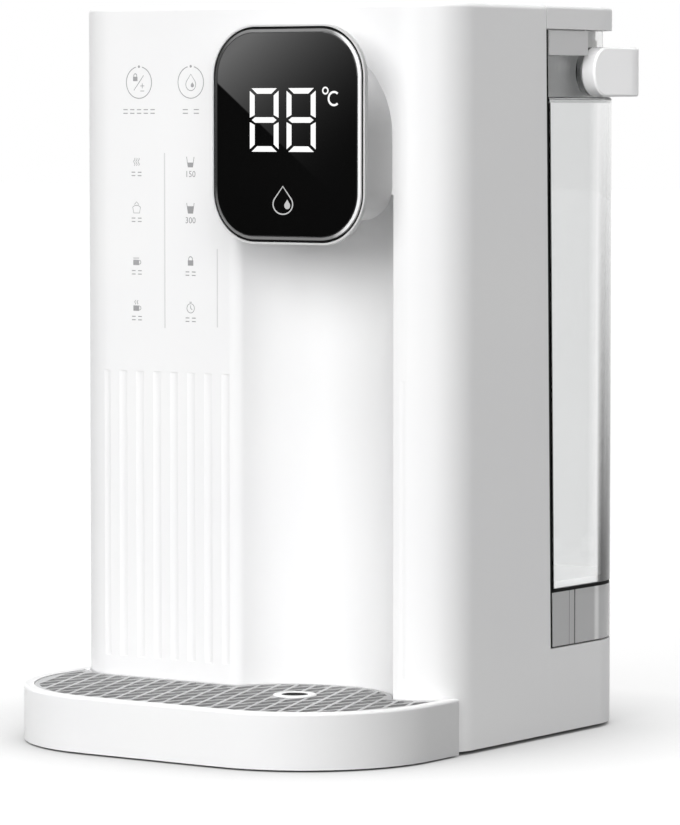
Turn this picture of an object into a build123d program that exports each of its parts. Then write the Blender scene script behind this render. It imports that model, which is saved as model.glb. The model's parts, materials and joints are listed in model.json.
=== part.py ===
from build123d import *
from math import sqrt
import os

# Desktop hot water dispenser. Millimetres, X across, -Y to the front, Z up, floor at zero.
# Depths are measured back from the front face of the housing.

# Body
body_width = 188.0
body_depth = 148.0
body_height = 300.0
front_radius = 22.4
back_radius = 30.0
wall = 2.6
edge_round = 2.0
foot_height = 1.6
plate_thickness = 2.6
deck_height = 36.6

# Seam towards the tank bay, which leans back as it goes down
seam_top_depth = 75.0
seam_deck_depth = 80.0
rear_wall_inset = 0.6
rear_wall_thickness = 2.4
rear_wall_overlap = 4.0
trim_inset = 0.3
trim_width = 2.2
trim_clear = 0.5

# Clearances
hairline = 0.2
fit = 0.15
running = 0.05
slip = 0.4
tank_gap = 2.2

# Cup recess, a round channel in the front face
recess_side_margin = 62.5
recess_radius = 43.0
recess_axis_reach = 19.0
recess_under_neck = 23.2
lip_radius = 6.5

# Flutes of the front face
flute_side_margin = 20.0
flute_pitch = 8.75
flute_count = 18
flute_radius = 5.0
flute_depth = 0.45
flute_foot = 31.0
flute_top = 150.0
flute_margin = 4.0

# Head, neck and display
head_drop = 52.8
head_width = 74.7
head_height = 87.5
display_side_shift = 0.65
display_rise = 0.55
head_radius = 21.0
head_rim = 3.2
head_wall = 2.2
head_chamfer = 1.2
neck_radius = 38.1
neck_drop = 33.5
neck_foot_radius = 14.0
neck_length = 14.0
neck_taper = 2.1
spigot_radius = 19.0
spigot_wall = 2.0
spigot_reach = 2.0
rim_lip = 0.8
gasket_width = 1.0
gasket_sink = 0.5
bezel_width = 1.2
bezel_depth = 2.0
bezel_proud = 0.6
bezel_shelf = 2.0
shelf_thickness = 1.0
glass_proud = 0.2
board_thickness = 1.6
digit_width = 46.0
digit_height = 34.0

# Spout
nozzle_reach = 7.0
nozzle_radius = 5.0
nozzle_bore = 3.2
nozzle_proud = 0.1
nozzle_height = 22.1
straightener_height = 3.0
straightener_hole = 0.7
straightener_ring = 1.7
straightener_holes = 6

# Drip tray, grille and drain ring
tray_reach = 69.5
tray_wrap = 11.6
tray_radius = 60.0
tray_height = 23.2
tray_lift = 0.8
tray_floor = 2.2
tray_rim = 4.2
tray_ledge = 1.2
tray_back_wall = 2.6
tray_round = 1.2
grille_wrap = 5.4
grille_thickness = 2.6
grille_sink = 0.4
grille_margin = 2.0
lattice_pitch = 7.9
lattice_row = 10.8
lattice_wide = 6.3
lattice_deep = 17.2
lattice_least_area = 9.0
drain_reach = 13.5
drain_radius = 5.3
drain_body_radius = 6.9
drain_flange_radius = 8.8
drain_flange = 0.7
drain_tail = 1.4
plug_flange = 0.8
plug_sink = 0.2
pad_radius = 7.0
pad_x = 46.0
pad_reach = 40.0
pad_recess = 0.8

# Tank, its base and its seal
tank_wall = 2.4
tank_base_height = 23.1
tank_base_roof = 2.4
tank_base_gap = 2.0
tank_rib = 1.6
tank_rib_set_back = 18.0
tank_rib_length = 24.0
tank_foot_inset = 1.2
tank_foot_height = 0.8
tank_seal_height = 1.5
tank_seal_width = 5.0
tank_seal_inset = 0.3
tank_floor = 2.8
shoulder_drop = 37.0
shoulder_round = 1.6
neck_back_inset = 2.5
neck_corner = 16.0

# Lid
lid_thickness = 9.4
lid_gap = 0.6
lid_seat_gap = 0.2
lid_round = 1.4
lid_skirt = 10.6
lid_skirt_inset = 0.5
lid_skirt_run = 30.0
lid_groove = 0.6
lid_groove_depth = 1.4
lid_plug_height = 8.0
lid_plug_wall = 2.2
lid_seal_height = 4.0
lid_seal_width = 1.4

# Handle on its two pins
handle_reach = 18.6
handle_height = 20.4
handle_thickness = 6.0
handle_gap = 0.3
handle_corner = 26.0
handle_edge = 1.4
arm_gap = 0.4
boss_length = 2.7
pivot_set_back = 25.3
pin_radius = 4.0
pin_in_arm = 3.9

# Check valve in the tank floor
valve_share = 0.1672
valve_wall = 3.0
valve_foot = 3.4
valve_seat_foot = 3.0
valve_seat = 3.0
valve_flange_width = 5.0
valve_flange = 2.5
valve_nut_width = 4.0
valve_nut = 3.0
gasket_height = 1.2
gasket_clear = 1.6
poppet_clear = 1.4
poppet_height = 2.8
stem_share = 0.31
stem_length = 4.5
spring_height = 11.0
spring_share = 0.57
spring_wire = 0.5
spring_turns = 5
cap_height = 2.0
cap_hole_share = 0.18
cap_ring_share = 0.57
cap_holes = 6
filter_width = 3.0
filter_height = 4.0
filter_wall = 1.4
filter_slots = 12
filter_slot = 1.6

# Socket in the deck, which takes the valve
socket_wall = 3.0
socket_rise = 7.0
socket_floor = 2.0
socket_depth = 6.0
socket_flange = 4.0
socket_flange_height = 2.6
chamber_clear = 2.0
chamber_drop = 8.0
pin_tip_gap = 0.3
valve_pin_clear = 0.3
seal_ring = 3.0
seal_ring_gap = 0.3

# Water path
hose_radius = 4.5
hose_bore = 3.0
hose_bend = 13.0
port_length = 9.0
pump_lift = 2.8
hose_under_deck = 3.5
pump_depth = 50.0
pump_side_gap = 5.4
pump_head_radius = 19.0
pump_head_length = 22.0
pump_motor_radius = 16.5
pump_motor_length = 46.0
pump_cap_radius = 12.0
pump_cap_length = 4.0
pump_port_offset = 14.0
pump_port_rise = 7.0
cradle_length = 34.0
cradle_width = 30.0
cradle_height = 12.0
heater_radius = 16.5
heater_cap_radius = 18.0
heater_cap = 16.0
heater_foot = 70.0
heater_headroom = 100.0
heater_port = 10.0
clip_wall = 2.0
clip_height = 8.0
clip_foot = 16.0
clip_margin = 4.0
cutout_radius = 8.0
cutout_thickness = 5.0
cutout_share = 0.54
sensor_radius = 3.0
sensor_length = 9.0
sensor_nut = 5.0
sensor_nut_length = 4.0

# Boards
power_width = 72.0
power_height = 118.0
power_side_gap = 7.4
power_rise = 60.0
standoff = 9.0
standoff_radius = 4.0
standoff_edge = 6.0
touch_pad_height = 1.2
touch_pad_radius = 6.5
key_pad_radius = 4.0
touch_pad_drop = 31.2
touch_column_shares = (0.264, 0.705)
key_row_drops = (64.0, 83.0, 104.0, 123.0)
touch_edge = 16.0

# Fixings and power
foot_radius = 8.0
foot_recess = 1.0
foot_side_margin = 20.0
foot_front_margin = 38.0
foot_back_margin = 18.0
boss_radius = 4.2
boss_overlap = 0.4
boss_height = 14.0
boss_front_margin = 7.6
boss_back_margin = 10.0
screw_radius = 1.3
screw_length = 10.0
screw_head_radius = 2.9
screw_head = 1.6
gland_side_margin = 46.0
gland_z = 17.0
gland_radius = 6.0
gland_bore = 3.4
gland_flange_radius = 8.0
gland_flange = 1.6
gland_tail = 3.0
vent_width = 3.0
vent_length = 34.0
vent_pitch = 8.0
vent_count = 6
vent_side_margin = 54.0
vent_depth = 22.0

# Places worked out from the sizes above. The origin is under the middle of the whole object.
overall_depth = tray_reach + body_depth + handle_reach
front_y = tray_reach - overall_depth / 2
back_y = front_y + body_depth
half_width = body_width / 2
floor_z = foot_height
plate_top = floor_z + plate_thickness
recess_x = half_width - recess_side_margin
recess_y = front_y - recess_axis_reach
recess_half = sqrt(recess_radius**2 - recess_axis_reach**2)
head_x = recess_x
head_z = body_height - head_drop
display_x = head_x - display_side_shift
display_z = head_z + display_rise
recess_top = body_height - head_drop - recess_under_neck
nozzle_foot = display_z - head_height / 2 - nozzle_proud
nozzle_top = nozzle_foot + nozzle_height
ledge_z = tray_height - grille_sink - grille_thickness
tray_bottom = tray_lift
tank_seal_z = deck_height + tank_base_height
tank_z = tank_seal_z + tank_seal_height
tank_floor_top = tank_z + tank_floor
shoulder_z = body_height - shoulder_drop
lid_z = body_height - lid_thickness
neck_top = lid_z - lid_seat_gap
neck_inset = handle_thickness + arm_gap + boss_length
neck_half = half_width - neck_inset
pivot_y = back_y - pivot_set_back
pivot_z = shoulder_z + handle_gap + handle_height / 2
bay_depth = body_depth - seam_deck_depth - tank_gap
valve_y = back_y - bay_depth / 2
valve_radius = valve_share * bay_depth
valve_bore = valve_radius - valve_wall
valve_seat_hole = valve_bore / 2
valve_flange_radius = valve_radius + valve_flange_width
valve_nut_radius = valve_radius + valve_nut_width
gasket_radius = valve_bore - gasket_clear
poppet_radius = valve_bore - poppet_clear
stem_radius = stem_share * valve_bore
spring_radius = spring_share * valve_bore
cap_hole = cap_hole_share * valve_bore
cap_ring = cap_ring_share * valve_bore
filter_radius = valve_radius + filter_width
chamber_radius = valve_radius - chamber_clear
valve_pin_radius = stem_radius - valve_pin_clear
valve_z = deck_height + valve_foot
seat_top = valve_z + valve_seat_foot + valve_seat
poppet_z = seat_top + gasket_height
stem_foot = poppet_z - gasket_height - stem_length
cap_z = poppet_z + poppet_height + spring_height
pump_y = front_y + pump_depth
pump_z = plate_top + pump_lift + pump_head_radius
port_z = deck_height - wall - hose_under_deck - hose_radius
pump_head_x = -half_width + wall + pump_side_gap + pump_cap_length + pump_motor_length
pump_port_x = pump_head_x + pump_port_offset
pump_port_end = pump_head_x + pump_head_length + port_length
valve_x = pump_port_end + 2 * hose_bend
heater_x = pump_port_x + heater_cap_radius + port_length + 2 * hose_bend
heater_y = pump_y
heater_top = body_height - heater_headroom
heater_height = heater_top - heater_foot
nozzle_y = front_y - nozzle_reach
stand = (Align.CENTER, Align.CENTER, Align.MIN)

# Leaning plane of the seam, facing the front, and the front face of the housing
seam_lean = (seam_top_depth - seam_deck_depth) / (body_height - deck_height)
seam_plane = Plane(
    origin=(0, front_y + seam_deck_depth, deck_height), x_dir=(1, 0, 0), z_dir=(0, -1, seam_lean)
)
tank_plane = seam_plane.offset(-tank_gap)
skirt_plane = seam_plane.offset(-tank_base_gap)
wall_plane = seam_plane.offset(rear_wall_inset + rear_wall_thickness)
face_plane = Plane.XZ.offset(-front_y)


def body_plan(inset):
    """Round-cornered plan of the whole body, drawn in by an inset."""
    with BuildSketch() as plan:
        with Locations((0, (front_y + back_y) / 2)):
            Rectangle(body_width - 2 * inset, body_depth - 2 * inset)
        fillet(plan.vertices().group_by(Axis.Y)[0], front_radius - inset)
        fillet(plan.vertices().group_by(Axis.Y)[-1], back_radius - inset)
    return plan.sketch


def recess_plan(grow):
    """Round channel of the cup recess, grown by a wall or a clearance."""
    with BuildSketch() as plan:
        with Locations((recess_x, recess_y)):
            Circle(recess_radius + grow)
    return plan.sketch


def tray_plan(inset, tail, clear):
    """Deep D in front of the body, with a lobe that fills the foot of the cup recess."""
    front = front_y - tray_reach + inset
    back = front_y + tail
    with BuildSketch() as plan:
        with Locations((0, (front + back) / 2)):
            Rectangle(body_width - 2 * inset, back - front)
        fillet(plan.vertices().group_by(Axis.Y)[0], tray_radius - inset)
        add(body_plan(-clear), mode=Mode.SUBTRACT)
        add(recess_plan(-clear))
    return plan.sketch


def bay_plan(side_inset, back_inset, corner):
    """Plan of what stands in the tank bay. Its leaning front is cut afterwards."""
    front = front_y + min(seam_top_depth, seam_deck_depth)
    back = back_y - back_inset
    with BuildSketch() as plan:
        with Locations((0, (front + back) / 2)):
            Rectangle(body_width - 2 * side_inset, back - front)
        fillet(plan.vertices().group_by(Axis.Y)[-1], corner)
    return plan.sketch


def head_outline(inset):
    """Round-cornered outline of the head, drawn in by an inset."""
    with BuildSketch() as outline:
        with Locations((display_x, display_z)):
            RectangleRounded(head_width - 2 * inset, head_height - 2 * inset, head_radius - inset)
    return outline.sketch


def neck_outline(inset):
    """Section of the neck: round above, with straight sides and a round-cornered foot below."""
    half = neck_radius - inset
    with BuildSketch() as outline:
        with Locations((head_x, head_z)):
            Circle(half)
            Rectangle(2 * half, half, align=(Align.CENTER, Align.MAX), mode=Mode.SUBTRACT)
            Rectangle(2 * half, neck_drop - inset, align=(Align.CENTER, Align.MAX))
        fillet(outline.vertices().group_by(Axis.Y)[0], neck_foot_radius - inset)
    return outline.sketch


def hose(*points):
    """Hose with its bore along straight runs and round bends."""
    with BuildPart() as tube:
        with BuildLine() as route:
            if len(points) > 2:
                FilletPolyline(*points, radius=hose_bend)
            else:
                Polyline(*points)
        with BuildSketch(Plane(origin=route.line @ 0, z_dir=route.line % 0)):
            Circle(hose_radius)
            Circle(hose_bore, mode=Mode.SUBTRACT)
        sweep(path=route.line)
    return tube.part


# Front housing: moulded shell with the cup recess, open to the rear and the floor
boss_x = half_width - wall - boss_radius + boss_overlap
boss_front_y = front_y + front_radius + boss_front_margin
boss_back_y = back_y - back_radius - boss_back_margin

with BuildPart() as housing_space:
    with BuildSketch(Plane.XY.offset(floor_z)):
        add(body_plan(wall))
    extrude(amount=body_height - wall - floor_z)
    with BuildSketch(Plane.XY.offset(floor_z)):
        add(recess_plan(wall))
    extrude(amount=recess_top + wall - floor_z, mode=Mode.SUBTRACT)

flute_xs = [flute_side_margin - half_width + flute_pitch * index for index in range(flute_count)]
flute_xs = [x for x in flute_xs if abs(x - recess_x) > recess_half + flute_margin]

with BuildPart() as front_housing:
    with BuildSketch(Plane.XY.offset(floor_z)):
        add(body_plan(0))
    extrude(amount=body_height - floor_z)
    fillet(front_housing.faces().sort_by(Axis.Z)[-1].edges(), edge_round)
    split(bisect_by=seam_plane, keep=Keep.TOP)
    with BuildSketch(Plane.XY.offset(floor_z)):
        add(recess_plan(0))
    extrude(amount=recess_top - floor_z, mode=Mode.SUBTRACT)
    lips = front_housing.edges().filter_by(Axis.Z).filter_by_position(
        Axis.Y, front_y - hairline, front_y + hairline
    )
    fillet(lips.sort_by(lambda edge: abs(edge.center().X - recess_x + recess_half))[0], lip_radius)
    add(housing_space.part, mode=Mode.SUBTRACT)
    with BuildSketch(Plane.XY.offset(plate_top)):
        with Locations((-boss_x, boss_front_y), (boss_x, boss_front_y)):
            Circle(boss_radius)
            Circle(screw_radius + running, mode=Mode.SUBTRACT)
    extrude(amount=boss_height)
    with BuildSketch(face_plane):
        with Locations((head_x, head_z)):
            Circle(spigot_radius + fit)
    extrude(amount=-2 * wall, mode=Mode.SUBTRACT)
    with BuildSketch(Plane.XY.offset(flute_foot)):
        with Locations(*[(x, front_y - flute_radius + flute_depth) for x in flute_xs]):
            Circle(flute_radius)
    extrude(amount=flute_top - flute_foot, mode=Mode.SUBTRACT)
front_housing.part.label = "front_housing"

# Rubber edging on the housing's back edges, beside the tank
trim_foot = slip
trim_head = lid_z - slip - deck_height
trim_x = half_width - trim_inset - trim_width / 2
with BuildPart() as bay_trim:
    with BuildSketch(seam_plane):
        with Locations(*[(side * trim_x, (trim_foot + trim_head) / 2) for side in (-1, 1)]):
            Rectangle(trim_width, trim_head - trim_foot)
    extrude(amount=trim_clear - tank_gap)
bay_trim.part.label = "bay_trim"

# Rear wall: panel between the works and the tank bay, with posts for the power board
wall_half = half_width - wall - fit
wall_foot = -rear_wall_overlap
wall_head = body_height - wall - slip - deck_height
board_plane = wall_plane.offset(standoff)
post_places = GridLocations(
    power_width - 2 * standoff_edge, power_height - 2 * standoff_edge, 2, 2
).locations
power_x = -half_width + wall + power_side_gap + power_width / 2
power_up = power_rise + power_height / 2
post_places = [(power_x + p.position.X, power_up + p.position.Y) for p in post_places]

with BuildPart() as rear_wall:
    with BuildSketch(seam_plane.offset(rear_wall_inset)):
        with Locations((0, (wall_foot + wall_head) / 2)):
            Rectangle(2 * wall_half, wall_head - wall_foot)
    extrude(amount=rear_wall_thickness)
    with BuildSketch(wall_plane):
        with Locations(*post_places):
            Circle(standoff_radius)
    extrude(amount=standoff)
rear_wall.part.label = "rear_wall"

# Base housing: deck and walls under the tank, open towards the works
gland_x = -half_width + gland_side_margin

with BuildPart() as base_housing:
    with BuildSketch(Plane.XY.offset(floor_z)):
        add(body_plan(0))
    extrude(amount=deck_height - floor_z)
    split(bisect_by=seam_plane, keep=Keep.BOTTOM)
    with BuildSketch(Plane.XY.offset(floor_z)):
        add(body_plan(wall))
    extrude(amount=deck_height - wall - floor_z, mode=Mode.SUBTRACT)
    with BuildSketch(Plane.XY.offset(plate_top)):
        with Locations((-boss_x, boss_back_y), (boss_x, boss_back_y)):
            Circle(boss_radius)
            Circle(screw_radius + running, mode=Mode.SUBTRACT)
    extrude(amount=boss_height)
    with Locations((valve_x, valve_y, deck_height - wall)):
        Cylinder(
            valve_radius + slip + seal_ring + socket_wall + fit,
            wall,
            align=stand,
            mode=Mode.SUBTRACT,
        )
    with BuildSketch(Plane.XZ.offset(-back_y)):
        with Locations((gland_x, gland_z)):
            Circle(gland_radius + fit)
    extrude(amount=2 * wall, mode=Mode.SUBTRACT)
base_housing.part.label = "base_housing"

# Bottom plate, with vents, foot recesses and screw holes
foot_x = half_width - foot_side_margin
foot_ys = (front_y + foot_front_margin, back_y - foot_back_margin)
foot_places = [(side * foot_x, y, 0) for y in foot_ys for side in (-1, 1)]
vent_x = -half_width + vent_side_margin
screw_places = [(side * boss_x, y) for y in (boss_front_y, boss_back_y) for side in (-1, 1)]

with BuildPart() as bottom_plate:
    with BuildSketch(Plane.XY.offset(floor_z)):
        add(body_plan(wall + fit))
        add(recess_plan(wall + fit), mode=Mode.SUBTRACT)
        with Locations((vent_x, front_y + vent_depth)):
            with GridLocations(vent_pitch, 0, vent_count, 1):
                SlotOverall(vent_length, vent_width, rotation=90, mode=Mode.SUBTRACT)
        with Locations(*screw_places):
            Circle(screw_radius + fit, mode=Mode.SUBTRACT)
    extrude(amount=plate_thickness)
    with BuildSketch(Plane.XY.offset(floor_z)):
        with Locations(*screw_places):
            Circle(screw_head_radius + fit)
    extrude(amount=screw_head, mode=Mode.SUBTRACT)
    with Locations(*[(x, y, floor_z) for x, y, z in foot_places]):
        Cylinder(foot_radius + fit, foot_recess, align=stand, mode=Mode.SUBTRACT)
bottom_plate.part.label = "bottom_plate"

with BuildPart() as rubber_feet:
    with Locations(*foot_places):
        Cylinder(foot_radius, foot_height + foot_recess, align=stand)
    chamfer(rubber_feet.edges().group_by(Axis.Z)[0], foot_height / 4)
rubber_feet.part.label = "rubber_feet"

with BuildPart() as base_screws:
    with Locations(*[(x, y, floor_z) for x, y in screw_places]):
        Cylinder(screw_head_radius, screw_head, align=stand)
        Cylinder(screw_radius, screw_head + screw_length, align=stand)
base_screws.part.label = "base_screws"

# Head: flat display housing on a neck that tapers towards it
head_back = face_plane.offset(neck_length)
bezel_back = face_plane.offset(neck_length + head_rim - bezel_depth)

with BuildPart() as head_space:
    with BuildSketch(face_plane):
        add(neck_outline(head_wall))
    with BuildSketch(head_back):
        add(neck_outline(head_wall + neck_taper))
    loft(ruled=True)
    with BuildSketch(head_back):
        add(neck_outline(head_wall + neck_taper))
    extrude(amount=head_rim)

with BuildPart() as head_shell:
    with BuildSketch(head_back):
        add(head_outline(0))
    extrude(amount=head_rim)
    chamfer(head_shell.faces().sort_by(Axis.Y)[-1].edges(), head_chamfer)
    with BuildSketch(face_plane):
        add(neck_outline(0))
    with BuildSketch(head_back):
        add(neck_outline(neck_taper))
    loft(ruled=True)
    add(head_space.part, mode=Mode.SUBTRACT)
    with BuildSketch(bezel_back):
        add(head_outline(rim_lip))
    extrude(amount=bezel_depth, mode=Mode.SUBTRACT)
    with BuildSketch(face_plane):
        add(neck_outline(head_wall / 2))
        with Locations((head_x, head_z)):
            Circle(spigot_radius - spigot_wall, mode=Mode.SUBTRACT)
    extrude(amount=head_wall)
    with BuildSketch(face_plane):
        with Locations((head_x, head_z)):
            Circle(spigot_radius)
            Circle(spigot_radius - spigot_wall, mode=Mode.SUBTRACT)
    extrude(amount=-wall - spigot_reach)
    with Locations((head_x, nozzle_y, nozzle_foot)):
        Cylinder(nozzle_radius + fit, nozzle_top - nozzle_foot, align=stand, mode=Mode.SUBTRACT)
head_shell.part.label = "head_shell"

# Display: black gasket, bright ring with a shelf behind the glass, the glass, and the digit board
bezel_inset = rim_lip + gasket_width
glass_inset = bezel_inset + bezel_width + fit
shelf_inset = glass_inset + bezel_shelf

with BuildPart() as display_gasket:
    with BuildSketch(bezel_back):
        add(head_outline(rim_lip))
        add(head_outline(bezel_inset), mode=Mode.SUBTRACT)
    extrude(amount=bezel_depth - gasket_sink)
display_gasket.part.label = "display_gasket"

with BuildPart() as display_bezel:
    with BuildSketch(bezel_back):
        add(head_outline(bezel_inset))
        add(head_outline(shelf_inset), mode=Mode.SUBTRACT)
    extrude(amount=shelf_thickness)
    with BuildSketch(bezel_back):
        add(head_outline(bezel_inset))
        add(head_outline(bezel_inset + bezel_width), mode=Mode.SUBTRACT)
    extrude(amount=bezel_depth + bezel_proud)
    front_face = display_bezel.faces().sort_by(Axis.Y)[0]
    fillet(front_face.outer_wire().edges(), bezel_width / 3)
display_bezel.part.label = "display_bezel"

with BuildPart() as display_glass:
    with BuildSketch(bezel_back.offset(shelf_thickness)):
        add(head_outline(glass_inset))
    extrude(amount=bezel_depth + bezel_proud + glass_proud - shelf_thickness)
    chamfer(display_glass.faces().sort_by(Axis.Y)[0].edges(), glass_proud)
display_glass.part.label = "display_glass"

with BuildPart() as display_board:
    with BuildSketch(bezel_back):
        add(neck_outline(head_wall + neck_taper + fit))
    extrude(amount=-board_thickness)
    with BuildSketch(bezel_back):
        with Locations((head_x, head_z)):
            RectangleRounded(digit_width, digit_height, board_thickness)
    extrude(amount=shelf_thickness - fit)
display_board.part.label = "display_board"

# Spout under the head, with a straightener in its mouth
with BuildPart() as outlet_nozzle:
    with Locations((head_x, nozzle_y, nozzle_foot)):
        Cylinder(nozzle_radius, nozzle_top - nozzle_foot, align=stand)
        Cylinder(nozzle_bore, nozzle_top - nozzle_foot, align=stand, mode=Mode.SUBTRACT)
outlet_nozzle.part.label = "outlet_nozzle"

with BuildPart() as flow_straightener:
    with BuildSketch(Plane.XY.offset(nozzle_foot + board_thickness)):
        with Locations((head_x, nozzle_y)):
            Circle(nozzle_bore - running)
            with PolarLocations(straightener_ring, straightener_holes):
                Circle(straightener_hole, mode=Mode.SUBTRACT)
    extrude(amount=straightener_height)
flow_straightener.part.label = "flow_straightener"

# Touch board behind the printed panel, with one pad for each mark
pad_back = face_plane.offset(-wall)
touch_left = -half_width + front_radius
touch_right = recess_x - recess_half - 2 * wall
touch_columns = [touch_left + share * (touch_right - touch_left) for share in touch_column_shares]
key_places = [(x, body_height - drop) for x in touch_columns for drop in key_row_drops]
ring_places = [(x, body_height - touch_pad_drop) for x in touch_columns]
touch_low = body_height - max(key_row_drops) - touch_edge
touch_high = body_height - touch_pad_drop + touch_edge

with BuildPart() as touch_board:
    with BuildSketch(pad_back):
        with Locations(*key_places):
            Circle(key_pad_radius)
        with Locations(*ring_places):
            Circle(touch_pad_radius)
    extrude(amount=-touch_pad_height)
    with BuildSketch(pad_back.offset(-touch_pad_height)):
        with Locations(((touch_left + touch_right) / 2, (touch_low + touch_high) / 2)):
            Rectangle(touch_right - touch_left, touch_high - touch_low)
    extrude(amount=-board_thickness)
touch_board.part.label = "touch_board"

# Drip tray: D-shaped dish with a raised rim and a ledge for the grille
with BuildPart() as drip_tray:
    with BuildSketch(Plane.XY.offset(tray_bottom)):
        add(tray_plan(0, tray_wrap, slip))
    extrude(amount=tray_height - tray_bottom)
    rim = drip_tray.faces().sort_by(Axis.Z)[-1].edges()
    fillet(rim.filter_by(lambda edge: edge.center().Y < front_y - slip - tray_round), tray_round)
    with BuildSketch(Plane.XY.offset(ledge_z)):
        add(tray_plan(tray_rim, grille_wrap, slip / 2))
    extrude(amount=tray_height - ledge_z, mode=Mode.SUBTRACT)
    with BuildSketch(Plane.XY.offset(tray_bottom + tray_floor)):
        add(tray_plan(tray_rim + tray_ledge, 0, slip + tray_back_wall))
    extrude(amount=tray_height - tray_bottom - tray_floor, mode=Mode.SUBTRACT)
    with Locations(*[(side * pad_x, front_y - pad_reach, tray_bottom) for side in (-1, 1)]):
        Cylinder(pad_radius + fit, pad_recess, align=stand, mode=Mode.SUBTRACT)
drip_tray.part.label = "drip_tray"

with BuildPart() as tray_pads:
    with Locations(*[(side * pad_x, front_y - pad_reach, 0) for side in (-1, 1)]):
        Cylinder(pad_radius, tray_lift + pad_recess, align=stand)
tray_pads.part.label = "tray_pads"

# Grille: plate with a staggered lattice of diamond openings
drain_y = front_y - drain_reach
grille_clear = slip + hairline
rows = int((tray_reach + recess_radius) / lattice_row) + 1
columns = int(body_width / lattice_pitch) + 1
lattice = [
    (lattice_pitch * (column - columns / 2 + (row % 2) / 2), front_y - tray_reach + lattice_row * row)
    for row in range(rows)
    for column in range(columns + 1)
]
with BuildSketch() as lattice_field:
    with Locations(*lattice):
        Polygon(
            (-lattice_wide / 2, 0),
            (0, -lattice_deep / 2),
            (lattice_wide / 2, 0),
            (0, lattice_deep / 2),
        )
    add(
        tray_plan(tray_rim + hairline + grille_margin, 0, grille_clear + grille_margin),
        mode=Mode.INTERSECT,
    )
    with Locations((recess_x, drain_y)):
        Circle(drain_flange_radius, mode=Mode.SUBTRACT)
openings = [face for face in lattice_field.sketch.faces() if face.area > lattice_least_area]

with BuildPart() as drip_grille:
    with BuildSketch(Plane.XY.offset(ledge_z)):
        add(tray_plan(tray_rim + hairline, grille_wrap - hairline, grille_clear))
        add(openings, mode=Mode.SUBTRACT)
        with Locations((recess_x, drain_y)):
            Circle(drain_body_radius + fit, mode=Mode.SUBTRACT)
    extrude(amount=grille_thickness)
drip_grille.part.label = "drip_grille"

with BuildPart() as drain_ring:
    with Locations((recess_x, drain_y, ledge_z - drain_tail)):
        Cylinder(drain_body_radius, drain_tail + grille_thickness, align=stand)
    with Locations((recess_x, drain_y, ledge_z + grille_thickness)):
        Cylinder(drain_flange_radius, drain_flange, align=stand)
    with Locations((recess_x, drain_y, ledge_z - drain_tail)):
        Cylinder(
            drain_radius,
            drain_tail + grille_thickness + drain_flange,
            align=stand,
            mode=Mode.SUBTRACT,
        )
    chamfer(drain_ring.edges().group_by(Axis.Z)[-1], drain_flange / 2)
drain_ring.part.label = "drain_ring"

# Rubber plug pushed into the drain ring from below
plug_z = ledge_z - drain_tail - plug_flange
plug_height = plug_flange + drain_tail + grille_thickness + drain_flange - plug_sink
with BuildPart() as drain_plug:
    with Locations((recess_x, drain_y, plug_z)):
        Cylinder(drain_body_radius, plug_flange, align=stand)
        Cylinder(drain_radius - running, plug_height, align=stand)
drain_plug.part.label = "drain_plug"

# Water tank: clear walls with a leaning front and an inset neck for the handle
with BuildPart() as tank_space:
    with BuildSketch(Plane.XY.offset(tank_z)):
        add(bay_plan(tank_wall, tank_wall, back_radius - tank_wall))
    extrude(amount=shoulder_z - tank_wall - tank_z)
    with BuildSketch(Plane.XY.offset(tank_z)):
        add(bay_plan(neck_inset + tank_wall, neck_back_inset + tank_wall, neck_corner - tank_wall))
    extrude(amount=neck_top - tank_z)
    split(bisect_by=tank_plane.offset(-tank_wall), keep=Keep.BOTTOM)

with BuildPart() as water_tank:
    with BuildSketch(Plane.XY.offset(tank_z)):
        add(bay_plan(0, 0, back_radius))
    extrude(amount=shoulder_z - tank_z)
    fillet(water_tank.faces().sort_by(Axis.Z)[-1].edges().sort_by(Axis.Y)[1:], shoulder_round)
    with BuildSketch(Plane.XY.offset(tank_z)):
        add(bay_plan(neck_inset, neck_back_inset, neck_corner))
    extrude(amount=neck_top - tank_z)
    with BuildSketch(Plane.YZ.offset(-neck_half - boss_length)):
        with Locations((pivot_y, pivot_z)):
            Circle(handle_height / 2)
    extrude(amount=2 * (neck_half + boss_length))
    split(bisect_by=tank_plane, keep=Keep.BOTTOM)
    add(tank_space.part, mode=Mode.SUBTRACT)
    with BuildSketch(Plane.YZ.offset(-neck_half - boss_length), Plane.YZ.offset(neck_half)):
        with Locations((pivot_y, pivot_z)):
            Circle(pin_radius + running)
    extrude(amount=boss_length, mode=Mode.SUBTRACT)
water_tank.part.label = "water_tank"

# White floor bonded into the foot of the clear walls, with the hole for the valve
liner_inset = tank_wall + running
with BuildPart() as tank_liner:
    with BuildSketch(Plane.XY.offset(tank_z)):
        add(bay_plan(liner_inset, liner_inset, back_radius - liner_inset))
    extrude(amount=tank_floor)
    split(bisect_by=tank_plane.offset(-liner_inset), keep=Keep.BOTTOM)
    with Locations((valve_x, valve_y, tank_z)):
        Cylinder(valve_radius + fit, tank_floor, align=stand, mode=Mode.SUBTRACT)
tank_liner.part.label = "tank_liner"

with BuildPart() as seal_space:
    with BuildSketch(Plane.XY.offset(tank_seal_z)):
        add(bay_plan(tank_seal_width, tank_seal_width, back_radius - tank_seal_width))
    extrude(amount=tank_seal_height)
    split(bisect_by=tank_plane.offset(-tank_seal_width), keep=Keep.BOTTOM)

with BuildPart() as tank_seal:
    with BuildSketch(Plane.XY.offset(tank_seal_z)):
        add(bay_plan(tank_seal_inset, tank_seal_inset, back_radius - tank_seal_inset))
    extrude(amount=tank_seal_height)
    split(bisect_by=tank_plane.offset(-tank_seal_inset), keep=Keep.BOTTOM)
    add(seal_space.part, mode=Mode.SUBTRACT)
tank_seal.part.label = "tank_seal"

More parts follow.
